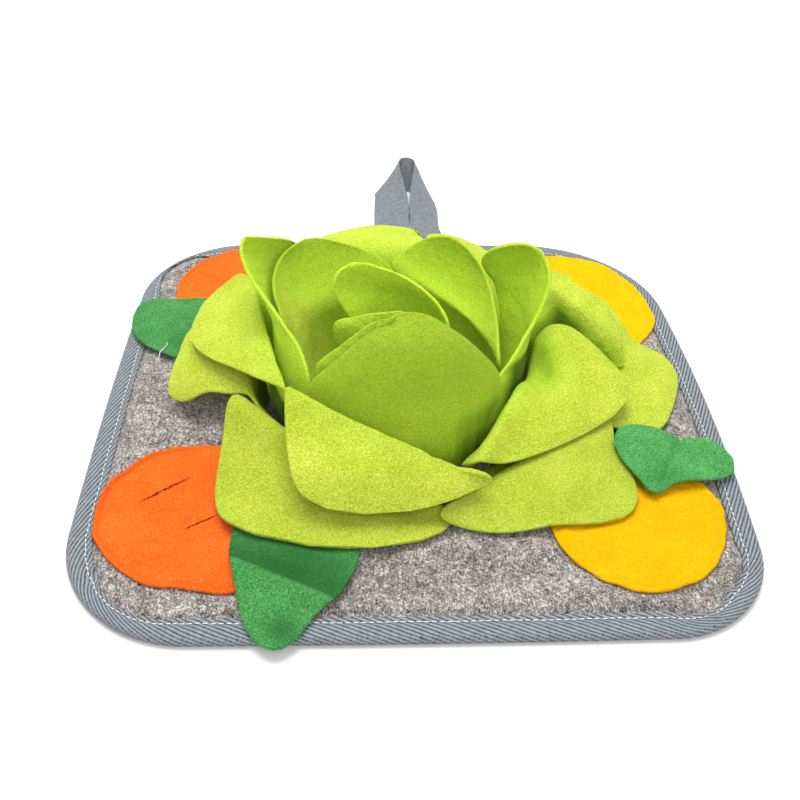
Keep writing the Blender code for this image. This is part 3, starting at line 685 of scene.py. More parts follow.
def noise(s, coords, scale, detail=2.0, rough=0.5, distort=0.0):
    n = s.node("ShaderNodeTexNoise", in_Scale=scale, in_Detail=detail, in_Roughness=rough,
               in_Distortion=distort)
    s.link(coords, n.inputs["Vector"])
    return n.outputs["Fac"]


def ramp(s, value, *stops):
    r = s.node("ShaderNodeValToRGB")
    el = r.color_ramp.elements
    while len(el) < len(stops):
        el.new(0.5)
    for e, (at, colour) in zip(el, stops):
        e.position = at
        e.color = colour
    s.link(value, r.inputs["Fac"])
    return r.outputs["Color"]


def mix(s, kind, share, a, b):
    m = s.node("ShaderNodeMix", data_type="RGBA", blend_type=kind)
    for socket, value in ((m.inputs["Factor"], share), (m.inputs[6], a), (m.inputs[7], b)):
        if isinstance(value, (int, float, tuple)):
            socket.default_value = value
        else:
            s.link(value, socket)
    return m.outputs[2]


def maths(s, kind, a, b=0.0):
    m = s.node("ShaderNodeMath", operation=kind)
    for socket, value in ((m.inputs[0], a), (m.inputs[1], b)):
        if isinstance(value, (int, float)):
            socket.default_value = value
        else:
            s.link(value, socket)
    return m.outputs[0]


def cut_line(s, co, jag, x0, y0, x1, y1, half):
    """1 inside a thin cut between two points (mm, seen from above), 0 outside, ragged and
    fading out towards its ends."""
    length = math.hypot(x1 - x0, y1 - y0)
    ux, uy = (x1 - x0) / length, (y1 - y0) / length
    sep = s.node("ShaderNodeSeparateXYZ")
    s.link(co, sep.inputs["Vector"])
    dx = maths(s, "SUBTRACT", maths(s, "MULTIPLY", sep.outputs[0], 1 / MM), x0)
    dy = maths(s, "SUBTRACT", maths(s, "MULTIPLY", sep.outputs[1], 1 / MM), y0)
    along = maths(s, "ADD", maths(s, "MULTIPLY", dx, ux), maths(s, "MULTIPLY", dy, uy))
    off = maths(s, "ABSOLUTE", maths(s, "ADD", maths(s, "SUBTRACT", maths(s, "MULTIPLY", dy, ux), maths(s, "MULTIPLY", dx, uy)),
                                    maths(s, "MULTIPLY", maths(s, "SUBTRACT", jag, 0.5), 2.2)))
    t = maths(s, "DIVIDE", along, length)
    open_by = maths(s, "MULTIPLY", maths(s, "MULTIPLY", t, maths(s, "SUBTRACT", 1.0, t)), 4.0)
    open_by = maths(s, "MULTIPLY", maths(s, "POWER", maths(s, "MAXIMUM", open_by, 0.0), 0.5), half)
    inside = maths(s, "DIVIDE", maths(s, "SUBTRACT", open_by, off), 0.3)
    return maths(s, "MINIMUM", maths(s, "MAXIMUM", inside, 0.0), 1.0)


def fleece(name, deep, mid, light, sheen, inner=None, through=0.0, cuts=()):
    """Short brushed pile: mottled colour, pebbled surface, soft sheen at grazing angles. Painted
    shade: where the mesh's shade says the cloth lies deep between its neighbours it takes the
    darker colour inner, and where it is hidden the near black gap colour; where the shade is
    below zero it is painted lighter. Its tone paints light and shade over a whole piece,
    lighter or darker."""
    s = Shader(name)
    co = s.node("ShaderNodeTexCoord").outputs["Object"]
    pile = noise(s, co, 1250.0, 3.0, 0.62, 0.4)
    fine = noise(s, co, 2600.0, 2.0, 0.6)
    patch = noise(s, co, 60.0, 3.0, 0.55)
    both = maths(s, "ADD", maths(s, "MULTIPLY", pile, 0.60),
                 maths(s, "ADD", maths(s, "MULTIPLY", fine, 0.26), maths(s, "MULTIPLY", patch, 0.14)))
    colour = ramp(s, both, (0.39, deep), (0.50, mid), (0.61, light))
    # painted shade: the shade attribute darkens the pile towards inner and gap, and below zero lightens it as painted
    # light
    shade = s.node("ShaderNodeAttribute", attribute_name="shade").outputs["Fac"]
    hidden = maths(s, "MINIMUM", maths(s, "MAXIMUM", maths(s, "SUBTRACT", shade, 1.0), 0.0), 1.0)
    lit = maths(s, "MINIMUM", maths(s, "MAXIMUM", maths(s, "MULTIPLY", shade, -1.0), 0.0), 1.0)
    shade = maths(s, "MAXIMUM", maths(s, "MINIMUM", shade, 1.0), 0.0)
    if inner is not None:
        wide = ramp(s, both, (0.39, tuple(c * 0.80 for c in inner[:3]) + (1.0,)), (0.50, inner),
                    (0.61, tuple(min(c * 1.22, 1.0) for c in inner[:3]) + (1.0,)))
        colour = mix(s, "MIX", shade, colour, wide)
        gap = tuple(c * k for c, k in zip(inner[:3], (0.09, 0.17, 0.30))) + (1.0,)
        colour = mix(s, "MIX", hidden, colour, gap)
    # painted light and shade over a whole piece: the tone attribute scales its colour
    tone = s.node("ShaderNodeAttribute", attribute_name="tone").outputs["Fac"]
    scaled = s.node("ShaderNodeVectorMath", operation="SCALE")
    s.link(colour, scaled.inputs[0])
    s.link(maths(s, "MULTIPLY", tone, maths(s, "ADD", maths(s, "MULTIPLY", lit, 0.45), 1.0)), scaled.inputs["Scale"])
    colour = scaled.outputs["Vector"]
    jag = noise(s, co, 1500.0, 2.0, 0.6)
    # painted shade: the open cuts are coloured near black
    for x0, y0, x1, y1, half in cuts:
        colour = mix(s, "MIX", cut_line(s, co, jag, x0, y0, x1, y1, half), colour, (0.09, 0.012, 0.006, 1.0))
    s.link(colour, s.out.inputs["Base Color"])
    height = maths(s, "ADD", maths(s, "MULTIPLY", pile, 0.8), maths(s, "MULTIPLY", fine, 0.4))
    bump = s.node("ShaderNodeBump", in_Strength=0.85, in_Distance=0.0010)
    s.link(height, bump.inputs["Height"])
    s.link(bump.outputs["Normal"], s.out.inputs["Normal"])
    s.set(Roughness=0.95, Specular_IOR_Level=0.10, Sheen_Weight=sheen, Sheen_Roughness=0.55,
          Sheen_Tint=light)
    if through:
        s.set(Subsurface_Weight=through, Subsurface_Radius=(0.9, 1.0, 0.15), Subsurface_Scale=0.003)
    return s.mat


def felt_material(name):
    """Needle felt: grey brown with lighter and darker fibres lying every way."""
    s = Shader(name)
    co = s.node("ShaderNodeTexCoord").outputs["Object"]

    def fibres(angle, seed):
        m = s.node("ShaderNodeMapping", vector_type="TEXTURE", in_Location=(seed, 0.3 * seed, 0.0),
                   in_Rotation=(0.0, 0.0, math.radians(angle)), in_Scale=(1 / 300.0, 1 / 1300.0, 1 / 700.0))
        s.link(co, m.inputs["Vector"])
        return noise(s, m.outputs["Vector"], 1.0, 2.5, 0.65, 0.5)

    a, b, c, d = fibres(20, 1.0), fibres(-35, 2.0), fibres(75, 3.0), fibres(-80, 4.0)
    light = maths(s, "MAXIMUM", maths(s, "MAXIMUM", a, b), maths(s, "MAXIMUM", c, d))
    dark = maths(s, "MINIMUM", maths(s, "MINIMUM", a, c), maths(s, "MINIMUM", b, d))
    cloud = noise(s, co, 95.0, 3.0, 0.6)
    speck = noise(s, co, 1100.0, 2.0, 0.6)
    both = maths(s, "ADD", maths(s, "MULTIPLY", light, 0.5), maths(s, "MULTIPLY", dark, 0.5))
    both = maths(s, "ADD", maths(s, "MULTIPLY", both, 0.72),
                 maths(s, "ADD", maths(s, "MULTIPLY", cloud, 0.11), maths(s, "MULTIPLY", speck, 0.17)))
    colour = ramp(s, both, (0.42, srgb(44, 40, 38)), (0.475, srgb(108, 102, 97)),
                  (0.525, srgb(152, 146, 140)), (0.58, srgb(216, 211, 205)))
    s.link(colour, s.out.inputs["Base Color"])
    bump = s.node("ShaderNodeBump", in_Strength=0.8, in_Distance=0.0008)
    s.link(both, bump.inputs["Height"])
    s.link(bump.outputs["Normal"], s.out.inputs["Normal"])
    s.set(Roughness=1.0, Specular_IOR_Level=0.1, Sheen_Weight=0.2, Sheen_Roughness=0.6)
    return s.mat


def tape_material(name, deep, mid, light):
    """Twill tape: the ribs are in the mesh and their furrows also get painted shade from the rib height, the short
    crossing yarns are bump and colour.
    """
    s = Shader(name)
    at = s.node("ShaderNodeAttribute", attribute_name="tape")
    sep = s.node("ShaderNodeSeparateXYZ")
    s.link(at.outputs["Vector"], sep.inputs["Vector"])
    along, across, rib = sep.outputs[0], sep.outputs[1], sep.outputs[2]
    co = s.node("ShaderNodeTexCoord").outputs["Object"]
    hair = noise(s, co, 2200.0, 3.0, 0.7)
    cloud = noise(s, co, 420.0, 3.0, 0.6)
    yarn = maths(s, "SINE", maths(s, "MULTIPLY", maths(s, "ADD", along, maths(s, "MULTIPLY", across, 0.35)), 7.8))
    yarn = maths(s, "ADD", maths(s, "MULTIPLY", yarn, 0.5), 0.5)
    # painted shade: low rib values, in the furrows and at the foot of the binding's outer wall, take the near black
    # deep colour
    tone = maths(s, "ADD", maths(s, "MULTIPLY", rib, 0.52),
                 maths(s, "ADD", maths(s, "MULTIPLY", hair, 0.20),
                       maths(s, "ADD", maths(s, "MULTIPLY", yarn, 0.08), maths(s, "MULTIPLY", cloud, 0.20))))
    colour = ramp(s, tone, (0.32, deep), (0.56, mid), (0.84, light))
    s.link(colour, s.out.inputs["Base Color"])
    bump = s.node("ShaderNodeBump", in_Strength=0.5, in_Distance=0.0004)
    s.link(maths(s, "ADD", hair, maths(s, "MULTIPLY", yarn, 0.6)), bump.inputs["Height"])
    s.link(bump.outputs["Normal"], s.out.inputs["Normal"])
    s.set(Roughness=0.8, Specular_IOR_Level=0.25, Sheen_Weight=0.15, Sheen_Roughness=0.5)
    return s.mat


def thread_material(name, colour):
    s = Shader(name)
    co = s.node("ShaderNodeTexCoord").outputs["Object"]
    ply = noise(s, co, 2500.0, 2.0, 0.5)
    s.link(ramp(s, ply, (0.3, tuple(c * 0.75 for c in colour[:3]) + (1.0,)), (0.6, colour)), s.out.inputs["Base Color"])
    bump = s.node("ShaderNodeBump", in_Strength=0.4, in_Distance=0.0002)
    s.link(ply, bump.inputs["Height"])
    s.link(bump.outputs["Normal"], s.out.inputs["Normal"])
    s.set(Roughness=0.6, Specular_IOR_Level=0.3)
    return s.mat


# cuts through the front left disc, coloured near black for the painted shade inside them: x y of both ends, half width,
# mm
SLITS = ((-132, -83, -109, -65, 0.62), (-108, -101, -93, -91, 0.58))

# inner is the painted shade colour for cloth deep in the flower, under a neighbour or in the sewn groove of a disc
LIME = fleece("fleece_lime", srgb(148, 173, 34), srgb(186, 204, 60), srgb(216, 231, 98), 0.22,
              inner=srgb(164, 200, 46))
GREEN = fleece("fleece_green", srgb(38, 106, 46), srgb(69, 141, 74), srgb(104, 174, 104), 0.22,
               inner=srgb(38, 98, 44))
ORANGE = fleece("fleece_orange", srgb(232, 84, 16), srgb(245, 105, 30), srgb(254, 130, 50), 0.12,
                inner=srgb(222, 78, 14), cuts=SLITS)
YELLOW = fleece("fleece_yellow", srgb(230, 162, 0), srgb(241, 180, 2), srgb(250, 198, 16), 0.12,
                inner=srgb(222, 160, 2))
FELT = felt_material("needle_felt")
# deep is the painted shade colour of the rib furrows and of the foot of the binding
TAPE_MAT = tape_material("twill_tape", srgb(4, 6, 9), srgb(72, 79, 84), srgb(164, 172, 178))
THREAD = thread_material("white_thread", srgb(238, 242, 246))
COLOUR_OF = {"green": GREEN, "orange": ORANGE, "yellow": YELLOW, "lime": LIME}


# ------------------------------------------------------------ settled sheets
def settle_all():
    """The same order and rules as the solids: every petal's and leaf's mid surface."""
    settled = []

    def remember(name, layer, points, faces):
        p = np.asarray(points, float)
        settled.append({"name": name, "layer": layer, "tree": tree_of(points, faces),
                        "low": p.min(0), "high": p.max(0)})

    for name, colour, centre, radii in DISCS:
        rim = disc_grid(centre, radii)
        z = DISC_LOW + FLEECE / 2
        fan = [(centre[0], centre[1], z)] + [(x, y, z) for x, y in rim]
        n = len(rim)
        remember(name, 12.0, fan, [(0, 1 + (i + 1) % n, 1 + i) for i in range(n)])

    def floor(x, y):
        edge = 3.0 if abs(x) > MAT_HALF - 26 or abs(y) > MAT_HALF - 26 else 0.0
        return FELT_TOP + GAP + FLEECE / 2 + 0.1 + 0.1 * edge

    grids = {}

    def place(name, rows, layer, end_width, round_share, rolls):
        grid = petal_sheet(rows, end_width, round_share, GRID_LONG, GRID_WIDE, rolls)
        for line, half_width, depth in HOLLOWS.get(name, ()):
            grid = hollow(grid, line, half_width, depth)
        grid = settle(grid, layer, settled, floor)
        grids[name] = grid
        remember(name, layer, grid.reshape(-1, 3), grid_faces(GRID_LONG, GRID_WIDE))

    for name, layer, end_width, round_share in LEAF_LAYERS[:2]:
        place(name, LEAVES[name], layer, end_width, round_share, (0.0, 0.0))
    for name, layer, end_width, round_share, left, right in LAYERS:
        place(name, PETALS[name], layer, end_width, round_share, (left, right))
    for name, layer, end_width, round_share in LEAF_LAYERS[2:]:
        place(name, LEAVES[name], layer, end_width, round_share, (0.0, 0.0))
    return grids


def smooth_grid(grid, rounds=2):
    """Takes the small kinks out of a settled sheet and leaves its border where it is."""
    g = grid.copy()
    for _ in range(rounds):
        near = (g[:-2, 1:-1] + g[2:, 1:-1] + g[1:-1, :-2] + g[1:-1, 2:]) / 4
        g[1:-1, 1:-1] = g[1:-1, 1:-1] * 0.5 + near * 0.5
        for e in (0, -1):
            g[e, 1:-1] = g[e, 1:-1] * 0.6 + (g[e, :-2] + g[e, 2:]) * 0.2
            g[1:-1, e] = g[1:-1, e] * 0.6 + (g[:-2, e] + g[2:, e]) * 0.2
    return g


PIECES = {}


def keep_piece(ob, node):
    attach(ob, "root")
    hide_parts(node)
    PIECES[node] = ob


def soft_step(x, low, high):
    q = np.clip((x - low) / (high - low), 0, 1)
    return q * q * (3 - 2 * q)


def depth_shade(name, points, inner_side):
    """Painted shade: how deep in the flower the cloth lies, 0 on the open outer petals and 1 in the cup, up to
    2 where it is hidden, with the painted patches of the spot tables on top; below 0 it is painted light."""
    x, y, z = points[..., 0], points[..., 1], points[..., 2]
    r = np.hypot(x + 4, y - 2)
    cup = name.startswith("cup") or name.startswith("bud")
    marks = PAINTED_LIGHT_AND_SHADE_INSIDE if cup and inner_side else PAINTED_SHADE_SPOTS
    # painted shade: outer petals darker towards the middle of the flower, the cup's petals darker all over
    out = soft_step(-r, -100, -52) * 0.55 if not name.startswith("leaf") else 0 * r
    if cup:
        out = np.full(r.shape, 0.85 if inner_side else 0.75)
    for cx, cy, radius, top, amount in marks.get(name, ()):
        out = out + (amount * np.exp(-((x - cx) ** 2 + (y - cy) ** 2) / radius**2)
                     * (1 - soft_step(z, top - 1.5, top + 3.5)))
    for x0, y0, x1, y1, reach, amount in BANDS.get(name, ()):
        side = ((x1 - x0) * (y - y0) - (y1 - y0) * (x - x0)) / math.hypot(x1 - x0, y1 - y0)
        out = out + amount * soft_step(side, -1.0, 0.8) * np.exp(-np.maximum(side, 0) / reach)
    return np.clip(out, -1, 2)


def make_petals(grids):
    leaf_names = [row[0] for row in LEAF_LAYERS]
    for number, (name, grid) in enumerate(grids.items()):
        leaf = name in leaf_names
        bumps = []
        for line, width, depth in CREASES.get(name, ()):
            bumps.append(lambda g, l=line, w=width, d=depth: -d * trough(g, l, w) * FACING.get(name, 1.0))
        for spots in BENDS.get(name, ()):
            bumps.append(lambda g, q=spots: q[4] * np.exp(-((g[..., 0] - q[0]) ** 2 + (g[..., 1] - q[1]) ** 2
                                                            + (g[..., 2] - q[2]) ** 2) / q[3] ** 2))
        g = smooth_grid(grid)
        ob, fine, n, area, upper, lower = cloth_mesh("fleece_" + name, g, FLEECE * 0.95, GREEN if leaf else LIME,
                                                     LONG_POINTS, WIDE_POINTS, bumps, seed=number * 11 + 3,
                                                     wob=WOBBLE.get(name, 0.3))
        add_shade(ob, np.concatenate([depth_shade(name, upper, False), depth_shade(name, lower, True)]),
                  PAINTED_LIGHT_TONE.get(name, 1.0))
        keep_piece(ob, name)
        area = float(area) * MM * MM


# stores the painted shade of each point and the piece's painted light tone
def add_shade(ob, values, tone=1.0):
    a = ob.data.attributes.new("shade", "FLOAT", "POINT")
    values = np.asarray(values, np.float32).reshape(-1)
    a.data.foreach_set("value", values)
    a = ob.data.attributes.new("tone", "FLOAT", "POINT")
    a.data.foreach_set("value", np.full(len(values), tone, np.float32))


LONG_POINTS, WIDE_POINTS = 73, 57       # points along and across a petal, without its rim
# creases: piece -> (points x, y on the mat in mm), half width, how deep
CREASES = {
    "leaf_front_left": ((((-84, -117), (-66, -124), (-51, -131), (-37, -139)), 6.0, 3.0),),
    "leaf_front_right": ((((142, -46), (130, -68), (120, -88)), 4.0, 1.6),),
    "leaf_back_left": ((((-137, 38), (-130, 48), (-124, 57)), 3.5, 0.8),),
    "cup_front": ((((47, -43), (41, -49), (34, -56), (25, -62)), 5.0, 2.6),),
}
# pieces whose normal points down into the mat side of the sheet
FACING = {"leaf_front_left": -1.0, "leaf_front_right": -1.0, "leaf_back_left": -1.0}
# soft bends: piece -> x, y, z, radius, how far along the normal
BENDS = {}
# painted shade: patches where the cloth is coloured darker because it lies in a hollow, in a fold or under its
# neighbours: piece -> x, y, radius, height above which it fades away, amount
PAINTED_SHADE_SPOTS = {
    "leaf_front_left": ((-50, -119, 15, 60, 0.3), (-58, -157, 7, 60, 0.8)),
    "leaf_back_left": ((-128, 44, 9, 60, 0.5),),
    "leaf_front_right": ((128, -74, 10, 60, 0.3),),
    "outer_right": ((64, -1, 8, 60, 0.5), (66, -12, 8, 60, 0.5), (73, -6, 6, 60, 0.8), (76, -15, 6, 60, 0.8),
                    (74, -21, 5, 60, 0.5), (58, -26, 5, 60, 0.8), (56, -37, 4, 60, 0.8)),
    "outer_back_right": ((70, 16, 10, 34, 1.5), (79, 28, 9, 34, 1.4), (89, 36, 9, 38, 1.5), (99, 26, 9, 35, 1.3),
                         (109, 14, 8, 31, 1.2), (116, 9, 6, 25, 0.8)),
    "outer_left": ((-66, -38, 16, 41, 2.2),),
    "lower_left": ((-74, -10, 16, 22, 1.4),),
    "cup_right": ((56, -26, 9, 47, 1.2), (59, -14, 9, 44, 1.2), (62, -3, 9, 42, 1.2), (62, 6, 8, 40, 1.1)),
    "cup_front": ((30, -60, 10, 24, 0.4), (45, -45, 3.5, 60, 0.8), (41, -49, 3.5, 60, 0.8), (36, -54, 3.5, 60, 0.8),
                  (30, -59, 3.5, 60, 0.8)),
}
# the same painted shade for the inner side of the cup's petals; a patch below zero is painted light
PAINTED_LIGHT_AND_SHADE_INSIDE = {
    "cup_back_left": ((-50, -2, 20, 60, -1.5),),
    "cup_right": ((52, 20, 14, 90, 0.3),),
}
# one side of a fold lies in its own shade: piece -> line x y x y, how far the shade reaches,
# amount; the dark side is to the left of the line's direction
BANDS = {
    "leaf_front_left": ((-84, -121, -36, -144, 26, 1.0),),
}
# painted light and shade: the colour of a whole piece made lighter or darker for how much light reaches it
PAINTED_LIGHT_TONE = {
    "bud_back": 1.40, "bud_front": 1.10, "cup_front": 0.84, "cup_back_left": 0.90, "cup_left": 1.28,
    "cup_right": 1.20, "lower_front": 0.88, "lower_right": 0.86, "outer_back": 1.12,
    "outer_back_centre": 1.12, "leaf_front_right": 1.22, "disc_back_right": 1.14, "disc_back_left": 1.08,
}
WOBBLE = {}


# ---------------------------------------------------------------- felt
def outline_even(inset, count):
    """The mat's outline as count points evenly spaced along it, with inward normals and lengths.
    It starts at the middle of the back edge."""
    pts = np.array(mat_outline(0.0, 40, 40))
    start = int(np.argmin((pts[:, 0]) ** 2 + (pts[:, 1] - MAT_HALF) ** 2))
    pts = np.roll(pts, -start, axis=0)
    loop = np.vstack([pts, pts[:1]])
    s = np.concatenate([[0], np.cumsum(np.linalg.norm(np.diff(loop, axis=0), axis=1))])
    at = np.arange(count) / count * s[-1]
    p = np.stack([np.interp(at, s, loop[:, k]) for k in range(2)], 1)
    t = unit(np.roll(p, -1, 0) - np.roll(p, 1, 0))
    for _ in range(int(count / 60)):
        t = unit(t + 0.5 * (np.roll(t, 1, 0) + np.roll(t, -1, 0)))
    inward = np.stack([-t[:, 1], t[:, 0]], 1)
    return p + inward * inset, inward, at, s[-1]


def tube_quads(rings, count):
    """Quads between rings of count points, each ring closed."""
    f = []
    for a in range(rings - 1):
        i = np.arange(count)
        j = (i + 1) % count
        f.append(np.stack([a * count + i, a * count + j, (a + 1) * count + j, (a + 1) * count + i], 1))
    return np.vstack(f)


def make_felt():
    count = 360
    insets_low = (110, 60, 30, 16, 14.4, 12.6, 8, 3, 1.6)
    insets_top = (1.6, 3, 4.2, 5.2, 6.2, 7.4, 8.6, 10, 11.2, 12.4, 13.0, 13.6, 14.4, 15.4, 16.6, 18, 20, 22, 24, 26, 28.5, 31,
                  33.5, 36, 39, 42, 45.5, 49, 53, 57, 61, 66, 71, 76, 82, 88, 95, 102, 110, 120, 130, 140, 150)
    rings, zs = [], []
    base, inward, at, total = outline_even(0.0, count)
    centre = np.array([0.0, 0.0])

    def ring(inset):
        if inset <= 46:
            return base + inward * inset
        inner = base + inward * 46
        return centre + (inner - centre) * max(1 - (inset - 46) / 112.0, 0.02)

    for i in insets_low:
        rings.append(ring(i))
        zs.append(np.full(count, 0.0 if i > 14 else (0.2 if i > 13 else FELT_RIM_LOW + 0.05)))
    for i in insets_top:
        p = ring(i)
        rings.append(p)
        p3 = np.column_stack([p, np.zeros(count)])
        j = i + (12.0 - edge_inset(at)) if i > 3 else np.full(count, float(i))
        rise = np.clip((j - 12.4) / 3.2, 0, 1)
        rise = rise * rise * (3 - 2 * rise)
        level = FELT_RIM_TOP + (FELT_TOP + 0.75 * np.exp(-((j - 19) / 7.0) ** 2) - FELT_RIM_TOP) * rise
        z = level + rise * (0.22 * waves(p3, 34, 5) + 0.14 * waves(p3, 9, 6) + 0.08 * waves(p3, 3.4, 8, 24))
        if 12 < i < 26:
            pleat = PLEATS(at) * math.exp(-((i - 15.5) / 5.0) ** 2)
            z = z - 1.0 * pleat
        under = np.zeros(count)
        for dn, col, c, radii in DISCS:
            d = np.linalg.norm(p - np.array(c), axis=1)
            under = np.maximum(under, np.clip((np.mean(radii) + 6 - d) / 8, 0, 1))
        flower = np.clip((112 - np.linalg.norm(p, axis=1)) / 20, 0, 1)
        z = np.minimum(z, np.where(np.maximum(under, flower) > 0.5, FELT_TOP + 0.2, 99))
        zs.append(z)
    pts = np.vstack([np.column_stack([p, z]) for p, z in zip(rings, zs)])
    f = tube_quads(len(rings), count).tolist()
    first = list(range(count))
    last = [len(pts) - count + i for i in range(count)]
    low_mid, top_mid = len(pts), len(pts) + 1
    pts = np.vstack([pts, [[0, 0, 0.0]], [[0, 0, float(np.mean(zs[-1]))]]])
    f += [(low_mid, first[(i + 1) % count], first[i]) for i in range(count)]
    f += [(top_mid, last[i], last[(i + 1) % count]) for i in range(count)]
    ob = mesh_object("mat_felt_cloth", pts, f, FELT)
    keep_piece(ob, "mat_felt")


def edge_inset(at):
    """Distance of the tape's inner edge from the rim at each length along it."""
    x = [r[0] for r in EDGE_ROWS]
    y = [r[1] for r in EDGE_ROWS]
    return np.interp(at, x, y)


def PLEATS(at):
    """How strongly the tape and felt are pinched at each length along the rim, 0..1."""
    out = np.zeros_like(at)
    for where, size, half in PLEAT_ROWS:
        out += size * np.exp(-((at - where) / half) ** 2)
    return out


def FOLDS(at, inset):
    """Height of the small tucks that the tape takes up round a corner: each rises slowly and
    drops sharply, and runs slantwise from the inner edge outward."""
    out = np.zeros_like(at)
    for where, size, half in TUCK_ROWS:
        u = (at - where + 0.55 * (inset - 8)) / half
        rise = soft_step(u, -1.0, 0.0)
        fall = np.clip(1 - u / 0.16, 0, 1)
        out += size * rise * fall * math.exp(-((inset - 9.5) / 5.5) ** 2)
    return out


# where the tape lies narrower: length along the rim, distance of its inner edge from the rim
EDGE_ROWS = (
    (122, 12.0), (132, 9.0), (138, 4.5), (146, 3.2), (158, 3.2), (170, 4.4), (184, 8.5), (198, 11.5), (212, 12.0),
    (408, 12.0), (428, 11.0), (440, 8.8), (454, 8.2), (470, 9.4), (486, 12.0),
    (700, 12.0), (716, 8.6), (728, 8.2), (742, 10.4), (756, 9.6), (768, 9.8), (784, 12.0),
)

# tucks: length along the rim, height, length in mm
TUCK_ROWS = (
    (137, 0.5, 7.0), (160, 0.6, 8.0), (178, 0.4, 6.0),
    (424, 0.7, 7.0), (441, 0.9, 8.0), (457, 0.7, 7.0),
    (723, 1.0, 9.0), (744, 0.5, 7.0), (765, 1.0, 9.0),
    (1030, 0.6, 7.0), (1052, 0.6, 7.0),
)

# pinches of the tape where it is eased round a corner: length along the rim from the middle
# of the back edge (towards the left corner), strength, half width in mm
PLEAT_ROWS = (
    (128, 0.5, 3.0), (146, 0.7, 2.5), (167, 0.6, 3.0), (185, 0.4, 2.5),
    (412, 0.6, 3.0), (428, 1.0, 3.2), (446, 0.7, 2.6), (462, 0.5, 3.0),
    (705, 0.6, 2.6), (722, 1.1, 3.4), (741, 0.6, 2.8),
    (1020, 0.5, 3.0), (1040, 0.7, 2.6), (1062, 0.5, 3.0),
)

RIB_ALONG = 4.6             # twill ribs: length of one rib along the tape
RIB_ACROSS = 2.05           # and across it
STITCH_PITCH = 3.4
STITCH_INSET = 9.0


def rib(along, across):
    """Height of the twill ribs, 0..1, rounded tops and narrow furrows."""
    q = (along / RIB_ALONG + across / RIB_ACROSS) % 1.0
    return np.sqrt(np.clip(1 - (2 * q - 1) ** 2, 0, 1)) ** 0.8


def make_binding():
    count = 1760
    base, inward, at, total = outline_even(0.0, count)
    ribs_on = round(total / RIB_ALONG) / (total / RIB_ALONG)
    corner = np.clip(1 - np.abs(np.abs(np.arctan2(base[:, 1], base[:, 0]) % (math.pi / 2)) - math.pi / 4) / 0.42, 0, 1)
    # cross section: inset, z, tape coordinate across, rib strength, from the lower leg's inner
    # edge round the fold to the upper leg's inner edge, then back inside
    outer = []
    for t in np.linspace(0, 1, 4):
        outer.append((12.0 - 10.2 * t, 0.05, -17.0 + 10.2 * t, 0.0))
    for a in np.linspace(-78, 78, 9):
        c, s_ = math.cos(math.radians(a)), math.sin(math.radians(a))
        outer.append((1.9 - 1.9 * c, 2.5 + 2.4 * s_, -1.2 + a / 78 * 3.2, 1.0))
    for t in np.linspace(0.03, 1, 27):
        inset = 1.5 + 10.3 * t
        outer.append((inset, 4.9 + 0.35 * math.sin(math.pi * min(t * 1.25, 1)), 2.2 + 10.3 * t, 1.0))
    outer.append((12.0, 4.55, 12.6, 0.3))
    inner = [(11.9, 4.05, 12.6, 0), (7.0, 4.0, 0, 0), (2.0, 4.0, 0, 0), (1.1, 3.4, 0, 0), (1.1, 1.4, 0, 0),
             (2.0, 1.0, 0, 0), (11.9, 1.0, 0, 0), (12.1, 0.5, 0, 0)]
    rings, tape = [], []
    pinch = PLEATS(at)
    narrow = (edge_inset(at) - 1.9) / 10.1
    for inset, z, across, strength in outer:
        wave = corner * max(inset - 4, 0) / 8
        ins = inset + wave * 0.55 * np.sin(at * 2 * math.pi / 13.0 + 1.0) + (0.9 * pinch * (inset / 12) ** 2 if inset > 5 else 0)
        if inset > 1.9 and z > 3:
            ins = 1.9 + (ins - 1.9) * narrow
        h = rib(at * ribs_on, across + 0 * at)
        fold = FOLDS(at, inset) if inset > 2.5 and z > 3 else 0.0
        up = 1 if inset > 1.9 else 0
        lift = 0.42 * strength * (h - 1)
        z2 = z + (lift if z > 2.5 else 0) * up
        ins = ins - (0 if up else 1) * lift
        if z > 3 and inset > 5:
            sink = math.exp(-((inset - STITCH_INSET) / 0.8) ** 2)
            z2 = z2 - 0.55 * sink - 0.9 * pinch * (inset / 12) ** 2 + wave * 0.35 * np.sin(at * 2 * math.pi / 13.0)
            z2 = np.maximum(z2 + fold, 4.12)
        p = base + inward * np.reshape(ins, (-1, 1)) * np.ones((count, 1))
        rings.append(np.column_stack([p, z2 * np.ones(count)]))
        # painted shade: towards the bottom of the outer wall the tape's colour value drops, for the shadow under the
        # mat's edge
        low = float(np.clip((1.9 - z) / 1.5, 0, 1))
        tape.append(np.column_stack([at, across + 0 * at, h * (1 - low) - 0.45 * low if strength else 0.4 - 0.8 * low + 0 * at]))
    for inset, z, across, strength in inner:
        keep = 1.9 + (inset - 1.9) * narrow if inset > 1.9 and z > 3 else inset + 0 * at
        p = base + inward * np.reshape(keep, (-1, 1))
        rings.append(np.column_stack([p, np.full(count, float(z))]))
        tape.append(np.column_stack([at, 0 * at, 0 * at]))
    pts = np.vstack(rings)
    n = len(rings)
    f = tube_quads(n, count)
    i = np.arange(count)
    j = (i + 1) % count
    f = np.vstack([f, np.stack([(n - 1) * count + i, (n - 1) * count + j, j, i], 1)])
    ob = mesh_object("binding_tape", pts, f[:, ::-1].tolist(), TAPE_MAT)
    add_tape(ob, np.vstack(tape))
    keep_piece(ob, "edge_binding")
    return base, inward, at, total, pinch, corner


def add_tape(ob, values):
    a = ob.data.attributes.new("tape", "FLOAT_VECTOR", "POINT")
    a.data.foreach_set("vector", np.asarray(values, np.float32).reshape(-1))


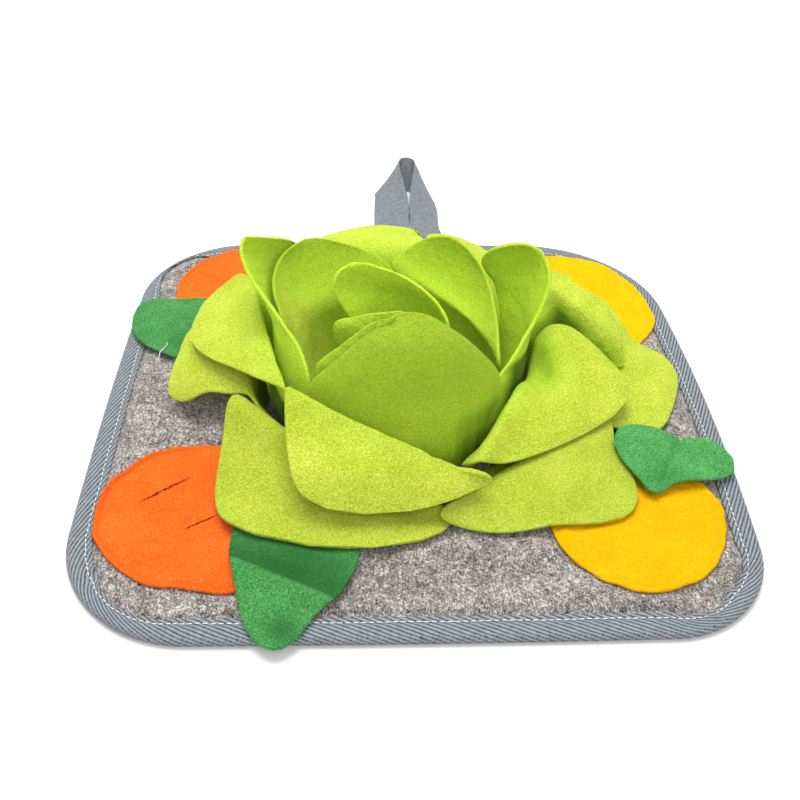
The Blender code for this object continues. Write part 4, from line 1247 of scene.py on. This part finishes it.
def thread_mesh(name, paths, radius, mat, sides=6):
    """Short stitches as one mesh of closed little tubes with pointed ends."""
    pts, faces = [], []
    for path in paths:
        path = np.asarray(path, float)
        t = unit(np.gradient(path, axis=0))
        u = unit(np.cross(t, np.array([0.0, 0.0, 1.0]) + 1e-6))
        v = np.cross(u, t)
        first = len(pts)
        k = len(path)
        pts.append(path[0])
        for i in range(k):
            r = radius * math.sin(math.pi * (i + 1) / (k + 1)) ** 0.5
            for a in range(sides):
                w = 2 * math.pi * a / sides
                pts.append(path[i] + r * (u[i] * math.cos(w) + v[i] * math.sin(w)))
        pts.append(path[-1])
        for a in range(sides):
            b = (a + 1) % sides
            faces.append((first, first + 1 + b, first + 1 + a))
            for i in range(k - 1):
                p = first + 1 + i * sides
                faces.append((p + a, p + b, p + sides + b, p + sides + a))
            p = first + 1 + (k - 1) * sides
            faces.append((p + a, p + b, first + 1 + k * sides))
    return mesh_object(name, pts, faces, mat)


def make_topstitch(base, inward, at, total, pinch, corner):
    n = int(total / STITCH_PITCH)
    r = np.random.default_rng(4)
    paths = []
    step = total / n
    for i in range(n):
        a0 = i * step + 0.5 + r.uniform(-0.1, 0.1)
        if float(edge_inset(a0)) < 5.0:
            continue
        ts = a0 + np.linspace(0, STITCH_PITCH - 1.1, 5)
        pts = []
        for k, t in enumerate(ts):
            x = np.interp(t, at, base[:, 0])
            y = np.interp(t, at, base[:, 1])
            nx = np.interp(t, at, inward[:, 0])
            ny = np.interp(t, at, inward[:, 1])
            ins = STITCH_INSET + 0.15 * math.sin(t / 7.0)
            c = float(np.interp(t, at, corner))
            ins += c * 5 / 8 * 0.55 * math.sin(t * 2 * math.pi / 13.0 + 1.0)
            ins = 1.9 + (ins - 1.9) * float(edge_inset(t) - 1.9) / 10.1
            z = 4.84 + 0.12 * math.sin(math.pi * k / 4) - 0.35 * float(np.interp(t, at, pinch))
            pts.append((x + nx * ins, y + ny * ins, max(z, 4.45)))
        paths.append(pts)
    paths.append([(-140.5, 26.0, 8.2), (-139.6, 29.0, 9.6), (-139.2, 31.0, 11.2), (-137.4, 33.0, 12.2),
                  (-135.8, 36.5, 12.4), (-136.4, 39.0, 12.0)])
    ob = thread_mesh("binding_topstitch", paths, 0.28, THREAD)
    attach(ob, "root")


# ---------------------------------------------------------------- loop
def make_loop():
    rows = np.array([r + (0.0, 0.0) for r in LOOP_ROWS])
    long, wide = 300, 29
    r, _ = smooth_rows(rows, long)
    # even spacing along the middle line
    mid = (r[:, 0:3] + r[:, 3:6]) / 2
    s = np.concatenate([[0], np.cumsum(np.linalg.norm(np.diff(mid, axis=0), axis=1))])
    at = np.linspace(0, s[-1], long)
    r = np.stack([np.interp(at, s, r[:, k]) for k in range(8)], 1)
    g = np.zeros((long, wide, 3))
    for j, t in enumerate(np.linspace(0, 1, wide)):
        g[:, j] = r[:, 0:3] * (1 - t) + r[:, 3:6] * t
    n = grid_normals(g)
    for _ in range(3):
        n = unit(blur(n, 0.6))
    width = np.linalg.norm(g[:, -1] - g[:, 0], axis=1).mean()
    across = np.linspace(0, width, wide)
    A, B = np.meshgrid(at, across, indexing="ij")
    # lower ribs than on the binding, with less painted shade in their furrows
    h = 0.83 + 0.3 * (rib(A, B) - 0.82)
    half = TAPE * 0.5
    top = g + n * (half + 0.16 * (h - 1))[..., None]
    low = g - n * (half + 0.16 * (h - 1))[..., None]
    pts = np.vstack([top.reshape(-1, 3), low.reshape(-1, 3)])
    k = long * wide
    f = quads(long, wide).tolist() + quads(long, wide, k, True).tolist()
    m = wide
    rim = ([j for j in range(m)] + [i * m + m - 1 for i in range(1, long)]
           + [(long - 1) * m + j for j in range(m - 2, -1, -1)] + [i * m for i in range(long - 2, 0, -1)])
    for a, b in zip(rim, rim[1:] + rim[:1]):
        f.append((b, a, k + a, k + b))
    ob = mesh_object("hanging_loop_tape", pts, f, TAPE_MAT)
    tape = np.stack([A, B, h], -1).reshape(-1, 3)
    add_tape(ob, np.vstack([tape, tape]))
    keep_piece(ob, "hang_loop")


# ---------------------------------------------------------------- discs
# cut slits, creases: piece -> line of x, y in mm, half width, depth
DISC_MARKS = {
    "disc_front_left": ((((-133, -85), (-109, -66)), 1.6, 0.7), (((-109, -104), (-91, -90)), 1.5, 0.6),
                        (((-142, -101), (-136, -97)), 1.5, 0.3)),
    "disc_back_left": ((((-130, 122), (-113, 110)), 2.6, 0.7),),
    "disc_front_right": ((((113, -99), (125, -112), (138, -125)), 2.2, 0.35),),
    "disc_back_right": ((((106, 128), (128, 112), (146, 88)), 9.0, 0.7),
                        (((104, 116), (124, 100), (138, 80)), 7.0, 0.6)),
}
# how strongly the edge is drawn in by its line of sewing, and how thick it curls; the same pull sets the painted shade
# along the sewn groove
RIM_PULL = {"disc_front_left": 1.0, "disc_back_left": 0.5, "disc_front_right": 0.25, "disc_back_right": 0.3}


def make_discs():
    for number, (name, colour, centre, radii) in enumerate(DISCS):
        nrad = len(radii)

        def radius(theta):
            t = (theta / (2 * math.pi) * nrad) % nrad
            k = np.floor(t).astype(int)
            q = t - k
            R = np.array(radii, float)
            r0, r1, r2, r3 = (R[(k + d) % nrad] for d in (-1, 0, 1, 2))
            return r1 + 0.5 * q * (r2 - r0 + q * (2 * r0 - 5 * r1 + 4 * r2 - r3 + q * (3 * (r1 - r2) + r3 - r0)))

        side = 101
        u = np.linspace(-1, 1, side)
        U, V = np.meshgrid(u, u, indexing="ij")
        X, Y = U * np.sqrt(1 - V * V / 2), V * np.sqrt(1 - U * U / 2)
        rho = np.sqrt(X * X + Y * Y)
        th = np.arctan2(Y, X)
        R = radius(th)
        edge_wave = 0.55 * waves(np.stack([np.cos(th) * 30, np.sin(th) * 30, 0 * th], -1), 9, 40 + number)
        R = R + edge_wave - 0.3
        d = rho * R
        P = np.stack([centre[0] + d * np.cos(th), centre[1] + d * np.sin(th), np.zeros_like(d)], -1)
        inside = R - d                                        # distance to the rim
        around = th * R
        pull = np.exp(-((inside - 2.6) / 1.1) ** 2)
        pucker = 0.5 + 0.5 * np.sin(around * 2 * math.pi / 4.6 + 1.5 * waves(P, 30, 60 + number))
        z = DISC_LOW + 1.75 + 0.28 * waves(P, 30, 70 + number) * np.clip(inside / 10, 0, 1)
        z += 0.16 * waves(P, 7, 80 + number) + 0.09 * waves(P, 3.0, 90 + number, 24)
        hold = RIM_PULL[name] * (0.75 + 0.45 * np.sin(th * 2.0 + 2.4))
        z -= pull * (0.75 + 0.45 * pucker) * hold
        z += 0.45 * hold * np.exp(-((inside - 1.0) / 1.1) ** 2) + 0.25 * np.exp(-((inside - 7) / 3.0) ** 2)
        for line, width, depth in DISC_MARKS.get(name, ()):
            z -= depth * trough(P, line, width)
        r = 0.9
        round_off = np.sqrt(np.clip(1 - (1 - np.clip(inside / r, 0, 1)) ** 2, 0, 1))
        low = DISC_LOW - 0.15
        top_z = low + 0.9 + (z - low - 0.9) * round_off
        top_z = np.maximum(top_z, low + 0.6)
        low_z = low + 0.9 - 0.9 * round_off
        pts_top = np.stack([P[..., 0], P[..., 1], top_z], -1)
        pts_low = np.stack([P[..., 0], P[..., 1], low_z], -1)
        rim = np.ones((side, side), bool)
        rim[1:-1, 1:-1] = False
        pts_top[rim, 2] = low + 0.9
        index = np.full((side, side), -1)
        index[~rim] = side * side + np.arange((~rim).sum())
        index[rim] = np.arange(side * side).reshape(side, side)[rim]
        pts = np.vstack([pts_top.reshape(-1, 3), pts_low[~rim]])
        f = quads(side, side)[:, ::-1].tolist() + index.reshape(-1)[quads(side, side)].tolist()
        ob = mesh_object("fleece_" + name, pts, f, COLOUR_OF[colour])
        # painted shade along the groove that the sewing pulls into the disc
        add_shade(ob, np.concatenate([(0.55 * pull * hold).reshape(-1), np.zeros(int((~rim).sum()))]),
                  PAINTED_LIGHT_TONE.get(name, 1.0))
        keep_piece(ob, name)


# ---------------------------------------------------------------- the scene
def make_stage():
    mesh = bpy.data.meshes.new("floor")
    mesh.from_pydata([(-4, -4, -0.0003), (4, -4, -0.0003), (4, 4, -0.0003), (-4, 4, -0.0003)], [], [(0, 1, 2, 3)])
    ob = bpy.data.objects.new("floor", mesh)
    bpy.context.scene.collection.objects.link(ob)
    s = Shader("floor_white")
    s.set(Base_Color=(0.9, 0.9, 0.9, 1.0), Roughness=0.9, Specular_IOR_Level=0.1)
    mesh.materials.append(s.mat)
    world = bpy.data.worlds.new("studio")
    world.use_nodes = True
    world.node_tree.nodes["Background"].inputs["Color"].default_value = (1, 1, 1, 1)
    world.node_tree.nodes["Background"].inputs["Strength"].default_value = WORLD
    bpy.context.scene.world = world
    for name, at, to, size, power in LIGHTS:
        light = bpy.data.lights.new(name, "AREA")
        light.shape = "RECTANGLE"
        light.size, light.size_y = size
        light.energy = power
        lo = bpy.data.objects.new(name, light)
        bpy.context.scene.collection.objects.link(lo)
        lo.location = at
        lo.rotation_euler = (Vector(to) - Vector(at)).to_track_quat("-Z", "Y").to_euler()
    cam = bpy.data.cameras.new("camera")
    co = bpy.data.objects.new("camera", cam)
    bpy.context.scene.collection.objects.link(co)
    cam.sensor_width = 36
    cam.lens = 925.3 * 36 / 800
    cam.clip_start = 0.01
    yaw, pitch, roll = (math.radians(a) for a in (3.37, 40.47, 2.03))
    fw = Vector((math.sin(yaw) * math.cos(pitch), math.cos(yaw) * math.cos(pitch), -math.sin(pitch)))
    r = Vector((math.cos(yaw), -math.sin(yaw), 0))
    up = r.cross(fw)
    r2 = math.cos(roll) * r + math.sin(roll) * up
    u2 = -math.sin(roll) * r + math.cos(roll) * up
    pos = Vector((-25.8, -393.8, 337.6)) * MM
    co.matrix_world = Matrix(((r2.x, u2.x, -fw.x, pos.x), (r2.y, u2.y, -fw.y, pos.y),
                              (r2.z, u2.z, -fw.z, pos.z), (0, 0, 0, 1)))
    bpy.context.scene.camera = co
    bpy.context.scene.view_settings.view_transform = "Standard"


WORLD = 0.58
LIGHTS = (
    # name, place, target, size x y, power in watts
    ("key", (-0.12, 0.28, 1.23), (0.0, 0.0, 0.0), (0.8, 0.8), 15.8),
    ("fill", (0.15, -0.95, 0.95), (0.0, 0.0, 0.05), (0.9, 0.9), 6.0),
)

GRIDS = settle_all()
make_felt()
ring = make_binding()
make_topstitch(*ring)
make_loop()
make_discs()
make_petals(GRIDS)
make_stage()

bpy.context.view_layer.update()
